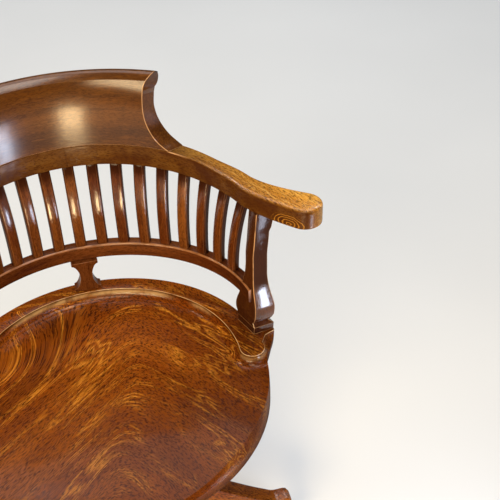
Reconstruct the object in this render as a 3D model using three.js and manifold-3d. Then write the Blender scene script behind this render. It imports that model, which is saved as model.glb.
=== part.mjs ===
// Bankers swivel chair in oak: carved seat, hooped arms on bowed slats, a rolled crest,
// a tilting iron mechanism, a screw for the height and four legs on castors.
// Millimetres, +Z up, front of the chair towards -Y.
// The origin is on the swivel axis at the floor.
import * as THREE from 'three';
import { mergeVertices } from 'three/addons/utils/BufferGeometryUtils.js';
import Module from 'manifold-3d';

const wasm = await Module();
wasm.setup();

// Clearances
const seatGap = 0.3;
const runGap = 0.3;
const cutOver = 10;
const wheelHeadroom = 48.4;

// Seat
const seatRimHeight = 470;
const seatThickness = 56;
const seatHalfWidth = 243;
const seatBackDepth = 228;
const seatFrontDepth = 237;
const seatTopFrontDepth = 208;
const seatNoseDrop = 34;
const seatEdgeRound = 1.6;
const seatUnderChamfer = 8;
const dishRimSide = 38;
const dishRimBack = 27;
const dishCentreBack = 7;
const coveRadius = 15;
const saddleDip = 6;
const frontRollStart = 120;
const frontRollDrop = 16;
const lobeRadius = 19.5;
const lobeInset = 18.6;
const lobeReach = 24.6;

// Arm posts: a skewed square shaft on a swelled foot
const postInset = 9;
const postCornerY = 26;
const postFaceTurn = 9;
const postSideTurn = 20;
const postHeight = 225;
const plinthWidth = 34;
const plinthDepth = 44;
const postLean = 10.3;
const postChamfer = 1.2;

// Arms and hoop
const hoopSideOverhang = 2;
const hoopBackOverhang = 4;
const hoopCentreBack = -43;
const hoopWidth = 26;
const hoopEndWidth = 32;
const armThickness = 31;
const armCrestLift = 4;
const armEndOverhang = 61;
const armEndY = 2.5;
const armEndRadius = 25.5;
const armEndTurn = 40;
const armEdgeRound = 7;
const armCrispRound = 1;
const armUnderRound = 2.5;

// Crest rail over the hoop
const crestHeight = 113;
const crestThickness = 25;
const crestLean = 17;
const crestMiddleLean = 10;
const crestRollRadius = 11.5;
const crestBottomHalf = 148;
const crestWaistHalf = 117.6;

// Lower back rail, slats and brace
const railHeight = 26;
const railWidth = 18;
const railRise = 58;
const railSideInset = 12;
const railBackInset = 14;
const railCentreBack = 14;
const railRound = 3;
const slatCount = 17;
const slatWidth = 17.5;
const slatDepth = 13;
const slatChamfer = 2.4;
const slatBow = 5.5;
const slatFootStep = 8.4;
const slatHeadStep = 8.3;
const slatSetback = 10.5;
const braceWidth = 43;
const braceWaist = 20;
const braceLip = 5;
const braceLipShare = 0.86;
const braceShelfShare = 1.2;
const braceScoopShare = 0.7;
const braceThickness = 18;
const braceSetback = 3;

// Tilting irons under the seat
const ironThickness = 7;
const ironArmWidth = 26;
const ironLongArmShare = 1.4;
const ironReachSide = 130;
const ironReachBack = 120;
const ironReachFront = 120;
const lugThickness = 8;
const lugWidth = 26;
const tiltPinDrop = 82;
const tiltPinRadius = 6;
const tiltPinHead = 4;
const pinHeadShare = 1.5;
const yokeTubeRadius = 12;
const yokeTubeHalf = 26;
const yokeBossRadius = 21;
const yokeDrop = 44;
const yokeNoseWidth = 34;
const yokeNoseThickness = 11;
const yokeNoseDrop = 16;
const yokeRibShare = 0.55;
const yokeSlotShare = 4;

// Tension rod, spring and knob
const rodReach = 92;
const rodPinDrop = 72;
const rodRadius = 4.5;
const rodEyeRadius = 8;
const rodEyeHalf = 4.5;
const rodPinRadius = 3;
const rodPinHead = 1.5;
const rodLugWidth = 18;
const rodLugThickness = 5;
const rodTail = 6;
const springLength = 52;
const springRadius = 14;
const springWire = 2.4;
const springCurls = 6;
const springSidesShare = 5;
const springStepsShare = 8;
const washerThickness = 3;
const washerRadius = 18;
const knobHeight = 20;
const knobRadius = 24;
const knobLobes = 6;
const knobLobeDepth = 3;

// Screw spindle and hand wheel
const spindleRadius = 14;
const spindleLength = 200;
const spindleLeadShare = 0.15;
const journalRadius = 10.5;
const journalHeight = 30;
const wheelRadius = 62;
const wheelRimRadius = 8;
const wheelBossRadius = 25;
const wheelBossHeight = 34;
const wheelSpokes = 4;
const wheelSpokeRadius = 6;
const wheelRimShare = 0.4;

// Hub and legs
const hubHeight = 128;
const hubRadius = 47;
const collarHeight = 15;
const collarRadius = 38;
const collarFlange = 6;
const collarNeckShare = 0.4;
const legCount = 4;
const legReach = 288;
const legWidth = 40;
const legToeWidth = 32;
const legRootDrop = 20;
const legToeTop = 84;
const legToeBottom = 61;
const legRound = 6;
const strapThickness = 4;
const strapWidth = 28;
const strapDiscShare = 0.8;
const legRootShare = 0.6;
const legFlatShare = 0.22;

// Castors
const castorPivotReach = 268;
const castorTrail = 20;
const castorWheelRadius = 22;
const castorWheelWidth = 15;
const castorTreadRound = 4;
const treadDropShare = 0.4;
const treadFlatShare = 0.3;
const axleRadius = 3;
const axleHead = 1.6;
const axleHeadRadius = 5;
const forkWall = 3.5;
const forkWidth = 16;
const forkCrownHeight = 5;
const forkCrownRadius = 12;
const stemRadius = 5;
const stemLength = 26;
const socketWall = 2.5;
const socketFlangeRadius = 15;
const socketFlange = 3;

// Finishes
const oak = { color: 0x7a4317, roughness: 0.34, metalness: 0 };
const darkOak = { color: 0x552c14, roughness: 0.36, metalness: 0 };
const iron = { color: 0x26241f, roughness: 0.5, metalness: 0.85 };
const steel = { color: 0x85827a, roughness: 0.35, metalness: 0.9 };
const brass = { color: 0x9a7a3c, roughness: 0.36, metalness: 0.9 };
const wheelWood = { color: 0x4a2a16, roughness: 0.45, metalness: 0 };

// Derived sizes that follow the seat
const dishHalfWidth = seatHalfWidth - dishRimSide;
const dishDepthFromCentre = seatBackDepth - dishRimBack - dishCentreBack;
const postCornerX = seatHalfWidth - postInset;
const hoopHalfWidth = seatHalfWidth + hoopSideOverhang;
const hoopDepth = seatBackDepth + hoopBackOverhang - hoopCentreBack;
const armEndX = seatHalfWidth + armEndOverhang;
const railHalfWidth = seatHalfWidth - railSideInset;
const railDepth = seatBackDepth - railBackInset - railCentreBack;

// Derived places, seat parts measured from the rim of the seat
const hoopTop = postHeight + armThickness;
const crestBase = hoopTop + armCrestLift;
const seatUnder = seatRimHeight - seatThickness;
const tiltPinZ = seatRimHeight - tiltPinDrop;
const rodPinZ = seatRimHeight - rodPinDrop;
const yokeBottom = tiltPinZ - yokeDrop;
const noseTop = tiltPinZ - yokeNoseDrop + yokeNoseThickness;
const noseUnder = noseTop - yokeNoseThickness;
const springTop = noseUnder - seatGap;
const washerTop = springTop - springLength - seatGap;
const knobTop = washerTop - washerThickness - seatGap;
const rodBottom = knobTop - knobHeight - rodTail;
const spindleShoulder = yokeBottom - seatGap;
const wheelTop = yokeBottom - wheelHeadroom;
const wheelBottom = wheelTop - wheelBossHeight;
const collarBottom = wheelBottom - seatGap - collarHeight;
const hubTop = collarBottom - seatGap;
const hubBottom = hubTop - hubHeight;
const legRoot = hubRadius * legRootShare;
const legRootTop = hubTop - legRootDrop;
const strapReach = mix(legRoot, legReach, legFlatShare) - strapThickness;

const whole = new THREE.Group();
const seatFrame = new THREE.Group();
seatFrame.position.z = seatRimHeight;
whole.add(seatFrame);

// Shape helpers

function radians(degrees) {
  return THREE.MathUtils.degToRad(degrees);
}

function mix(from, to, share) {
  return from + (to - from) * share;
}

function ease(share) {
  const s = THREE.MathUtils.clamp(share, 0, 1);
  return s * s * (3 - 2 * s);
}

// Straight line reading of a list of [place, value] pairs
function read(pairs, place) {
  let value = pairs[0][1];
  for (let i = 0; i < pairs.length - 1; i += 1) {
    const [fromPlace, fromValue] = pairs[i];
    const [toPlace, toValue] = pairs[i + 1];
    if (place >= fromPlace) {
      const share = (place - fromPlace) / (toPlace - fromPlace);
      value = mix(fromValue, toValue, Math.min(share, 1));
    }
  }
  return value;
}

function signedArea(ring) {
  return THREE.ShapeUtils.area(ring);
}

// Triangles over a ring of 3-D points, seen along its own normal
function capTriangles(ring) {
  const centre = new THREE.Vector3();
  ring.forEach((point) => centre.add(point));
  centre.divideScalar(ring.length);
  const normal = new THREE.Vector3();
  ring.forEach((point, i) => {
    const next = ring[(i + 1) % ring.length];
    const a = point.clone().sub(centre);
    const b = next.clone().sub(centre);
    normal.add(a.cross(b));
  });
  normal.normalize();
  const turn = new THREE.Quaternion().setFromUnitVectors(normal, new THREE.Vector3(0, 0, 1));
  const flat = ring.map((point) => {
    const p = point.clone().applyQuaternion(turn);
    return new THREE.Vector2(p.x, p.y);
  });
  const triangles = THREE.ShapeUtils.triangulateShape(flat, []);
  let covered = 0;
  triangles.forEach((corners) => {
    covered += signedArea(corners.map((corner) => flat[corner]));
  });
  const sameWay = covered * signedArea(flat) > 0;
  return triangles.map(([a, b, c]) => (sameWay ? [a, b, c] : [a, c, b]));
}

// A geometry whose faces point out
function outward(geometry) {
  const position = geometry.attributes.position;
  const index = geometry.index;
  const corner = [new THREE.Vector3(), new THREE.Vector3(), new THREE.Vector3()];
  let volume = 0;
  for (let i = 0; i < index.count; i += 3) {
    corner.forEach((point, k) => point.fromBufferAttribute(position, index.getX(i + k)));
    volume += corner[0].dot(corner[1].clone().cross(corner[2]));
  }
  if (volume < 0) {
    for (let i = 0; i < index.count; i += 3) {
      const kept = index.getX(i + 1);
      index.setX(i + 1, index.getX(i + 2));
      index.setX(i + 2, kept);
    }
  }
  return geometry;
}

// Triangles between the first half of a ring and its second half, which runs back beside it
function zippedTriangles(ring) {
  const triangles = [];
  const last = ring.length - 1;
  for (let i = 0; i < ring.length / 2 - 1; i += 1) {
    triangles.push([i, i + 1, last - i - 1]);
    triangles.push([i, last - i - 1, last - i]);
  }
  return triangles;
}

// One closed body through rings of equal count, capped at both ends
function loft(rings, capWith = capTriangles) {
  const count = rings[0].length;
  const positions = [];
  const indices = [];
  rings.forEach((ring) => ring.forEach((p) => positions.push(p.x, p.y, p.z)));
  const last = (rings.length - 1) * count;
  for (let start = 0; start < last; start += count) {
    for (let i = 0; i < count; i += 1) {
      const a = start + i;
      const b = start + ((i + 1) % count);
      indices.push(a, b, b + count, a, b + count, a + count);
    }
  }
  capWith(rings[0]).forEach(([a, b, c]) => indices.push(a, c, b));
  capWith(rings[rings.length - 1]).forEach(([a, b, c]) => {
    indices.push(last + a, last + b, last + c);
  });
  const geometry = new THREE.BufferGeometry();
  geometry.setAttribute('position', new THREE.Float32BufferAttribute(positions, 3));
  geometry.setIndex(indices);
  return outward(geometry);
}

function bare(geometry) {
  const copy = geometry.clone();
  copy.deleteAttribute('normal');
  copy.deleteAttribute('uv');
  return mergeVertices(copy);
}

function solid(geometry) {
  const closed = outward(bare(geometry));
  const mesh = new wasm.Mesh({
    numProp: 3,
    vertProperties: new Float32Array(closed.attributes.position.array),
    triVerts: new Uint32Array(closed.index.array),
  });
  return new wasm.Manifold(mesh);
}

function fromSolid(body) {
  const mesh = body.getMesh();
  const geometry = new THREE.BufferGeometry();
  const places = new THREE.Float32BufferAttribute(mesh.vertProperties, 3);
  geometry.setAttribute('position', places);
  geometry.setIndex(new THREE.Uint32BufferAttribute(mesh.triVerts, 1));
  return geometry;
}

function addPiece(parent, name, geometry, finish) {
  const mesh = new THREE.Mesh(geometry, new THREE.MeshStandardMaterial(finish));
  mesh.name = name;
  parent.add(mesh);
  return mesh;
}

function box(width, depth, height, x, y, z) {
  return new THREE.BoxGeometry(width, depth, height).translate(x, y, z);
}

// An upright cylinder from one height to another
function post(radius, from, to, x = 0, y = 0, sides = 20) {
  const shape = new THREE.CylinderGeometry(radius, radius, to - from, sides);
  return shape.rotateX(Math.PI / 2).translate(x, y, (from + to) / 2);
}

// A cylinder lying along X
function crossBar(radius, halfLength, y, z, sides = 14) {
  const shape = new THREE.CylinderGeometry(radius, radius, halfLength * 2, sides);
  return shape.rotateZ(Math.PI / 2).translate(0, y, z);
}

function lathe(profile, sides = 24) {
  const points = profile.map(([radius, z]) => new THREE.Vector2(radius, z));
  return new THREE.LatheGeometry(points, sides).rotateX(Math.PI / 2);
}

// A flat outline in the X-Y plane moved along its own normals
function offsetOutline(points, distance) {
  const sense = Math.sign(signedArea(points));
  return points.map((point, i) => {
    const before = points[(i + points.length - 1) % points.length];
    const after = points[(i + 1) % points.length];
    const into = point.clone().sub(before).normalize();
    const out = after.clone().sub(point).normalize();
    const along = into.clone().add(out).normalize();
    const grow = 1 / Math.max(along.dot(out), 0.5);
    const normal = new THREE.Vector2(-along.y, along.x).multiplyScalar(sense * distance * grow);
    return point.clone().add(normal);
  });
}

function raised(points, z) {
  return points.map((point) => new THREE.Vector3(point.x, point.y, z));
}

// Corner-rounded section: across is the first axis, up the second.
// Each corner is [across, up, radius], given anticlockwise from the low inner one.
function roundedSection(corners, steps) {
  const points = [];
  corners.forEach(([across, up, radius], quarter) => {
    const signAcross = quarter === 1 || quarter === 2 ? -1 : 1;
    const signUp = quarter >= 2 ? -1 : 1;
    const centreAcross = across + signAcross * radius;
    const centreUp = up + signUp * radius;
    for (let k = 0; k <= steps; k += 1) {
      const angle = Math.PI + (Math.PI / 2) * (quarter + k / steps);
      points.push([centreAcross + radius * Math.cos(angle), centreUp + radius * Math.sin(angle)]);
    }
  });
  return points;
}

// Place on an upright ellipse whose back is at angle zero, with its outward normal
function ellipsePlace(halfWidth, depth, centreBack, angle) {
  const place = new THREE.Vector2(
    halfWidth * Math.sin(angle),
    centreBack + depth * Math.cos(angle),
  );
  const normal = new THREE.Vector2(Math.sin(angle) / halfWidth, Math.cos(angle) / depth);
  return { place, normal: normal.normalize() };
}

// The arm post's own skewed axes: across its front face, and back along its inner side
const faceTurn = radians(postFaceTurn);
const sideTurn = radians(postSideTurn);
const postAcross = new THREE.Vector2(Math.cos(faceTurn), Math.sin(faceTurn));
const postBack = new THREE.Vector2(-Math.sin(sideTurn), Math.cos(sideTurn));

function postPlace(across, back) {
  const place = new THREE.Vector2(postCornerX, postCornerY);
  place.addScaledVector(postAcross, across);
  return place.addScaledVector(postBack, back);
}

function mirrored(points) {
  return points.map((point) => new THREE.Vector2(-point.x, point.y)).reverse();
}

// Seat

function seatOutline(frontDepth) {
  const points = [];
  const steps = 88;
  for (let i = 0; i < steps; i += 1) {
    const angle = (Math.PI * 2 * i) / steps;
    const depth = Math.cos(angle) > 0 ? seatBackDepth : frontDepth;
    points.push(ellipsePlace(seatHalfWidth, depth, 0, angle).place);
  }
  return points;
}

// How the front nose comes forward, as a share, against its drop below the rim
const noseShares = [[0.05, 0.05], [0.47, 0.45], [0.75, 0.8], [1, 1]];

function seatBlank() {
  const widest = seatOutline(seatFrontDepth);
  const crown = seatOutline(seatTopFrontDepth);
  return loft([
    raised(offsetOutline(widest, seatUnderChamfer), -seatThickness),
    raised(widest, -seatThickness + seatUnderChamfer),
    ...noseShares.slice().reverse().map(([drop, share]) => {
      const depth = mix(seatTopFrontDepth, seatFrontDepth, share);
      return raised(seatOutline(depth), -seatNoseDrop * drop);
    }),
    raised(offsetOutline(crown, seatEdgeRound), 0),
  ]);
}

// The ear under each arm post, as shares of the plinth's width and depth
const earShares = [
  [-2.2, -1.2], [-0.62, -1.5], [-0.36, -1.21], [-0.08, -0.9], [0.3, -0.62], [0.7, -0.28],
  [0.95, -0.06], [1.03, 0.06], [1.03, 1.06], [0.96, 1.21], [0.8, 1.3], [-2.2, 1.1],
];

// How far the ear's side is cut under, as a share of the plinth's width,
// against the depth below the rim as a share of the seat's thickness
const earUndercutShares = [[1, 0.56], [0.8, 0.27], [0.6, 0.1], [0.32, 0.02], [0.03, 0]];

function earOutline(undercut) {
  const [innerEdge] = earShares[1];
  const [outerEdge] = earShares[7];
  return earShares.map(([across, back]) => {
    const outness = THREE.MathUtils.clamp((across - innerEdge) / (outerEdge - innerEdge), 0, 1);
    return postPlace((across - undercut * outness) * plinthWidth, back * plinthDepth);
  });
}

function earBlank() {
  return loft([
    ...earUndercutShares.map(([drop, undercut]) => {
      return raised(earOutline(undercut), -seatThickness * drop);
    }),
    raised(offsetOutline(earOutline(0), seatEdgeRound), 0),
  ]);
}

// Right half of the line where the dish meets the rim, from the back to the front
function dishHalf() {
  const points = [];
  const backSteps = 20;
  for (let i = 0; i < backSteps; i += 1) {
    const angle = (Math.PI / 2) * (i / backSteps);
    const place = ellipsePlace(dishHalfWidth, dishDepthFromCentre, dishCentreBack, angle).place;
    points.push(place);
  }
  const lobe = postPlace(-lobeInset, -lobeReach);
  const lobeSteps = 9;
  for (let i = 0; i <= lobeSteps; i += 1) {
    const angle = Math.PI + (Math.PI + radians(postSideTurn)) * (i / lobeSteps);
    const offset = new THREE.Vector2(Math.cos(angle), Math.sin(angle)).multiplyScalar(lobeRadius);
    points.push(lobe.clone().add(offset));
  }
  const frontLineShares = [[0.42, -0.18], [0.74, -0.12], [1.3, -0.08], [1.7, -0.08]];
  frontLineShares.forEach(([across, back]) => {
    points.push(postPlace(across * plinthWidth, back * plinthDepth));
  });
  const frontShare = 1.16;
  const frontSteps = 11;
  for (let i = 1; i <= frontSteps; i += 1) {
    const angle = Math.PI / 2 + (Math.PI / 2) * (i / frontSteps);
    const depth = seatFrontDepth * frontShare;
    points.push(ellipsePlace(seatHalfWidth * frontShare, depth, 0, angle).place);
  }
  return points;
}

function dishOutline() {
  const right = dishHalf();
  const left = mirrored(right.slice(1, -1));
  return [...right, ...left];
}

// Height of the dished floor under a place, the rim being zero
function floorHeight(x, y) {
  const sideShare = Math.abs(x) / seatHalfWidth;
  const backShare = y / seatBackDepth;
  const hollow = Math.max(1 - sideShare * sideShare - backShare * backShare, 0);
  const roll = Math.max((-y - frontRollStart) / (seatFrontDepth - frontRollStart), 0);
  return -coveRadius - saddleDip * hollow - frontRollDrop * roll * roll;
}

function dishCutter() {
  const outline = dishOutline();
  const rings = [raised(outline, cutOver), raised(outline, 0)];
  const coveSteps = 4;
  for (let i = 1; i <= coveSteps; i += 1) {
    const angle = (Math.PI / 2) * (i / coveSteps);
    const inset = offsetOutline(outline, coveRadius * (1 - Math.cos(angle)));
    const depth = Math.sin(angle);
    rings.push(inset.map((p) => new THREE.Vector3(
      p.x,
      p.y,
      mix(0, floorHeight(p.x, p.y), depth),
    )));
  }
  const edge = rings[rings.length - 1];
  const turns = edge.map((p, i) => {
    const turn = Math.atan2(p.x, p.y);
    return i > 0 && turn <= 0 ? turn + Math.PI * 2 : turn;
  }).sort((a, b) => a - b);
  const floorShares = [0.8, 0.5, 0.2];
  floorShares.forEach((share) => {
    rings.push(edge.map((p, i) => {
      const round = dishHalfWidth * Math.cbrt(share);
      const blend = Math.pow(share, 4);
      const x = mix(Math.sin(turns[i]) * round, p.x, blend) * share;
      const y = mix(Math.cos(turns[i]) * round, p.y, blend) * share;
      return new THREE.Vector3(x, y, floorHeight(x, y));
    }));
  });
  return loft(rings);
}

function makeSeat() {
  const ear = solid(earBlank());
  const body = solid(seatBlank()).add(ear).add(ear.mirror([1, 0, 0]));
  return fromSolid(body.subtract(solid(dishCutter())));
}

// Arm posts, by height as a share of the whole post:
// how far the inner face leans out, the width, and the depth
const postLeanShares = [[0, 0], [0.06, 0.08], [0.26, 0.4], [0.64, 0.4], [0.77, 0.62], [1, 1]];
const postWidthShares = [
  [0, 1], [0.058, 1], [0.083, 0.77], [0.105, 0.89], [0.14, 0.97], [0.19, 0.98],
  [0.24, 0.94], [0.32, 0.84], [0.41, 0.75], [0.5, 0.7], [0.845, 0.69], [0.865, 0.76],
  [0.92, 0.81], [1, 0.87],
];
const postDepthShares = [
  [0, 1], [0.058, 1], [0.083, 1.08], [0.105, 1.16], [0.14, 1.19], [0.19, 1.14], [0.24, 1.04],
  [0.32, 0.9], [0.41, 0.74], [0.5, 0.62], [0.6, 0.57], [0.845, 0.55], [1, 0.53],
];
const postNotchShares = [
  [0, 0], [0.058, 0], [0.083, 0.1], [0.12, 0.02], [0.2, 0.03], [0.4, 0.06], [1, 0.06],
];

function postRing(height, grow) {
  const share = height / postHeight;
  const inner = postLean * read(postLeanShares, share) - grow;
  const outer = inner + plinthWidth * read(postWidthShares, share) + grow + grow;
  const front = plinthDepth * read(postNotchShares, share) - grow;
  const back = plinthDepth * read(postDepthShares, share) + grow;
  const corners = [[inner, front], [outer, front], [outer, back], [inner, back]];
  const ring = [];
  corners.forEach(([across, along], i) => {
    const toInner = across === inner ? 1 : -1;
    const toFront = along === front ? 1 : -1;
    const onFace = [across + toInner * postChamfer, along];
    const onSide = [across, along + toFront * postChamfer];
    const pair = i % 2 ? [onFace, onSide] : [onSide, onFace];
    pair.forEach(([a, b]) => ring.push(postPlace(a, b)));
  });
  return raised(ring, height);
}

function makePost(grow = 0) {
  const heightShares = [
    0, 0.058, 0.083, 0.105, 0.14, 0.19, 0.24, 0.32, 0.41, 0.5, 0.64, 0.77, 0.845, 0.865, 0.92,
  ];
  const rings = heightShares.map((share) => postRing(share * postHeight, grow));
  rings.push(postRing(postHeight - seatGap, grow));
  rings[0].forEach((point) => { point.z = seatGap; });
  return loft(rings);
}

// Hoop and arms

// Middle line of the arm, its width, and the direction that points outwards.
// The share runs from 0 at the middle of the back to 1 where the bend to the arm's end starts.
const bendStartShare = 0.9;
const swellStartShare = 0.78;

function hoopStation(share) {
  const { place, normal } = ellipsePlace(
    hoopHalfWidth,
    hoopDepth,
    hoopCentreBack,
    Math.asin(share),
  );
  const grown = ease((share - swellStartShare) / (bendStartShare - swellStartShare));
  const width = mix(hoopWidth, hoopEndWidth, grown);
  return { centre: place.addScaledVector(normal, width / 2), normal, width };
}

function armBend() {
  const start = hoopStation(bendStartShare);
  const heading = new THREE.Vector2(start.normal.y, -start.normal.x);
  const end = new THREE.Vector2(armEndX, armEndY);
  const endTurn = radians(armEndTurn);
  const endHeading = new THREE.Vector2(Math.cos(endTurn), -Math.sin(endTurn));
  const pull = start.centre.distanceTo(end) / 3;
  return new THREE.CubicBezierCurve(
    start.centre,
    start.centre.clone().addScaledVector(heading, pull),
    end.clone().addScaledVector(endHeading, -pull),
    end,
  );
}

function bendStation(curve, share) {
  const heading = curve.getTangent(share);
  const normal = new THREE.Vector2(-heading.y, heading.x);
  return {
    centre: curve.getPoint(share),
    normal,
    width: mix(hoopEndWidth, armEndRadius * 2, share),
  };
}

function armStations() {
  const stations = [];
  const hoopSteps = 16;
  for (let i = 0; i < hoopSteps; i += 1) {
    const angle = Math.asin(bendStartShare) * (i / hoopSteps);
    stations.push(hoopStation(Math.sin(angle)));
  }
  stations[0].centre.x = seatGap / 2;
  const bend = armBend();
  const bendSteps = 9;
  for (let i = 0; i <= bendSteps; i += 1) {
    stations.push(bendStation(bend, i / bendSteps));
  }
  const tip = stations[stations.length - 1];
  const heading = new THREE.Vector2(tip.normal.y, -tip.normal.x);
  const tipShares = [0.3, 0.55, 0.75, 0.89, 0.97];
  tipShares.forEach((share) => {
    stations.push({
      centre: tip.centre.clone().addScaledVector(heading, armEndRadius * share),
      normal: tip.normal,
      width: tip.width * Math.sqrt(1 - share * share),
    });
  });
  return stations;
}

function armRing({ centre, normal, width }) {
  const outX = centre.x;
  const fromCrest = ease((outX - crestBottomHalf) / (hoopHalfWidth - crestBottomHalf));
  const top = mix(crestBase, hoopTop, fromCrest);
  const limit = width / 3;
  const edge = Math.min(mix(armCrispRound, armEdgeRound, fromCrest), limit);
  const under = Math.min(armUnderRound, limit);
  const half = width / 2;
  const corners = [
    [-half, postHeight, under], [half, postHeight, under], [half, top, edge], [-half, top, edge],
  ];
  return roundedSection(corners, 2).map(([across, up]) => {
    const place = centre.clone().addScaledVector(normal, across);
    return new THREE.Vector3(place.x, place.y, up);
  });
}

function makeArm() {
  return loft(armStations().map(armRing));
}

// Half the width of the crest's front and back faces, as shares of the waist's half width,
// against the height as a share of the crest's
const crestFrontShares = [
  [0, 1.26], [0.05, 1.195], [0.12, 1.13], [0.2, 1.085], [0.3, 1.045], [0.42, 1.015],
  [0.56, 1.002], [0.7, 1], [0.82, 1.004], [0.92, 1.028], [0.97, 1.055], [1, 1.08],
];
const crestBackShares = [
  [0, 1.33], [0.05, 1.276], [0.12, 1.209], [0.2, 1.157], [0.3, 1.112], [0.42, 1.076],
  [0.56, 1.058], [0.7, 1.06], [0.8, 1.085], [1, 1.094],
];
const crestRiseShares = [0, 0.05, 0.12, 0.2, 0.3, 0.42, 0.56, 0.7, 0.82, 0.92];
const crestFrontLeanShares = [
  [0, 0], [0.12, 0.015], [0.3, 0.05], [0.42, 0.09], [0.56, 0.16], [0.7, 0.31], [0.82, 0.52],
  [0.92, 0.8],
];
const crestBackLeanShares = [[0, 0], [0.3, 0.01], [0.42, 0.05], [0.56, 0.14], [0.7, 0.34]];

// Crest: the closed section up its front and down its back, as [outwards, up, half width].
// The lean is how far the front face has moved back at the top.
function crestSection(lean) {
  const point = (out, up, shares) => {
    return [out, up, crestWaistHalf * read(shares, up / crestHeight)];
  };
  const front = crestRiseShares.map((share) => {
    return point(lean * read(crestFrontLeanShares, share), share * crestHeight, crestFrontShares);
  });
  const back = crestRiseShares.slice(0, -2).map((share) => {
    const out = crestThickness + lean * read(crestBackLeanShares, share);
    return point(out, share * crestHeight, crestBackShares);
  });
  const onRoll = (angle, shares) => point(
    lean + crestRollRadius * (1 + Math.cos(radians(angle))),
    crestHeight - crestRollRadius * (1 - Math.sin(radians(angle))),
    shares,
  );
  [115, 90, 65].forEach((angle) => front.push(onRoll(angle, crestFrontShares)));
  [-90, -55, -20, 12, 40].forEach((angle) => back.push(onRoll(angle, crestBackShares)));
  return [...front, ...back.reverse()];
}

function makeCrest() {
  const rings = [];
  const steps = 18;
  for (let i = 0; i <= steps; i += 1) {
    const side = -1 + (2 * i) / steps;
    const section = crestSection(mix(crestMiddleLean, crestLean, side * side));
    rings.push(section.map(([out, up, halfWidth]) => {
      const { place, normal } = ellipsePlace(
        hoopHalfWidth,
        hoopDepth,
        hoopCentreBack,
        Math.asin(halfWidth / hoopHalfWidth) * side,
      );
      place.addScaledVector(normal, out);
      return new THREE.Vector3(place.x, place.y, crestBase + seatGap + up);
    }));
  }
  return loft(rings, zippedTriangles);
}

// Lower back rail, scribed to the backs of the posts
function makeLowerRail() {
  const rings = [];
  const steps = 36;
  const endAngle = Math.PI / 2 - radians(postFaceTurn);
  const corners = [
    [0, railRise, railRound],
    [railWidth, railRise, railRound],
    [railWidth, railRise + railHeight, railRound],
    [0, railRise + railHeight, railRound],
  ];
  const section = roundedSection(corners, 1);
  for (let i = 0; i <= steps; i += 1) {
    const angle = endAngle * (-1 + (2 * i) / steps);
    const { place, normal } = ellipsePlace(railHalfWidth, railDepth, railCentreBack, angle);
    rings.push(section.map(([across, up]) => {
      const spot = place.clone().addScaledVector(normal, across);
      return new THREE.Vector3(spot.x, spot.y, up);
    }));
  }
  let body = solid(loft(rings));
  const stopShare = 0.8;
  const stop = [
    postPlace(-plinthWidth, -plinthDepth),
    postPlace(plinthWidth * 2, -plinthDepth),
    postPlace(plinthWidth * 2, plinthDepth * stopShare),
    postPlace(-plinthWidth, plinthDepth * stopShare),
  ];
  const stopBody = solid(loft([
    raised(stop, railRise - cutOver),
    raised(stop, railRise + railHeight + cutOver),
  ]));
  const cutter = solid(makePost(seatGap)).add(stopBody);
  body = body.subtract(cutter).subtract(cutter.mirror([1, 0, 0]));
  return fromSolid(body);
}

// Slats

function slatRing(place, normal, z) {
  const along = new THREE.Vector2(-normal.y, normal.x);
  const halfWidth = slatWidth / 2;
  const halfDepth = slatDepth / 2;
  const ring = [];
  const cornerSigns = [[1, 1], [-1, 1], [-1, -1], [1, -1]];
  cornerSigns.forEach(([side, face], i) => {
    const nearSide = side * (halfWidth - slatChamfer);
    const nearFace = face * (halfDepth - slatChamfer);
    const pair = [[side * halfWidth, nearFace], [nearSide, face * halfDepth]];
    (i % 2 ? pair.reverse() : pair).forEach(([a, b]) => {
      ring.push(place.clone().addScaledVector(along, a).addScaledVector(normal, b));
    });
  });
  return raised(ring, z);
}

function makeSlat(number) {
  const foot = ellipsePlace(
    railHalfWidth + railWidth / 2,
    railDepth + railWidth / 2,
    railCentreBack,
    radians(slatFootStep * number),
  );
  const head = ellipsePlace(
    hoopHalfWidth + slatSetback,
    hoopDepth + slatSetback,
    hoopCentreBack,
    radians(slatHeadStep * number),
  );
  const bottom = railRise + railHeight + seatGap;
  const top = postHeight - seatGap;
  const rings = [];
  const steps = 6;
  for (let i = 0; i <= steps; i += 1) {
    const share = i / steps;
    const place = foot.place.clone().lerp(head.place, share);
    const normal = foot.normal.clone().lerp(head.normal, share).normalize();
    place.addScaledVector(normal, -slatBow * 4 * share * (1 - share));
    rings.push(slatRing(place, normal, mix(bottom, top, share)));
  }
  return loft(rings);
}

// Brace between the seat's back rim and the middle of the lower rail
function makeBrace() {
  const half = braceWidth / 2;
  const waist = braceWaist / 2;
  const tall = railRise - seatGap * 2;
  const near = half * braceLipShare;
  const shelf = braceLip * braceShelfShare;
  const right = [[half, 0], [half, braceLip], [near, shelf]];
  const scoopSteps = 7;
  for (let i = 1; i < scoopSteps; i += 1) {
    const share = i / scoopSteps;
    const scoop = Math.pow(Math.sin(Math.PI * share), braceScoopShare);
    right.push([mix(near, waist, scoop), mix(shelf, tall - shelf, share)]);
  }
  right.push([near, tall - shelf], [half, tall - braceLip], [half, tall]);
  const left = right.map(([x, z]) => [-x, z]).reverse();
  const shape = new THREE.Shape([...right, ...left].map(([x, z]) => new THREE.Vector2(x, z)));
  const geometry = new THREE.ExtrudeGeometry(shape, { depth: braceThickness, bevelEnabled: false });
  geometry.rotateX(Math.PI / 2);
  return bare(geometry.translate(0, seatBackDepth - braceSetback, seatGap));
}

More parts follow.
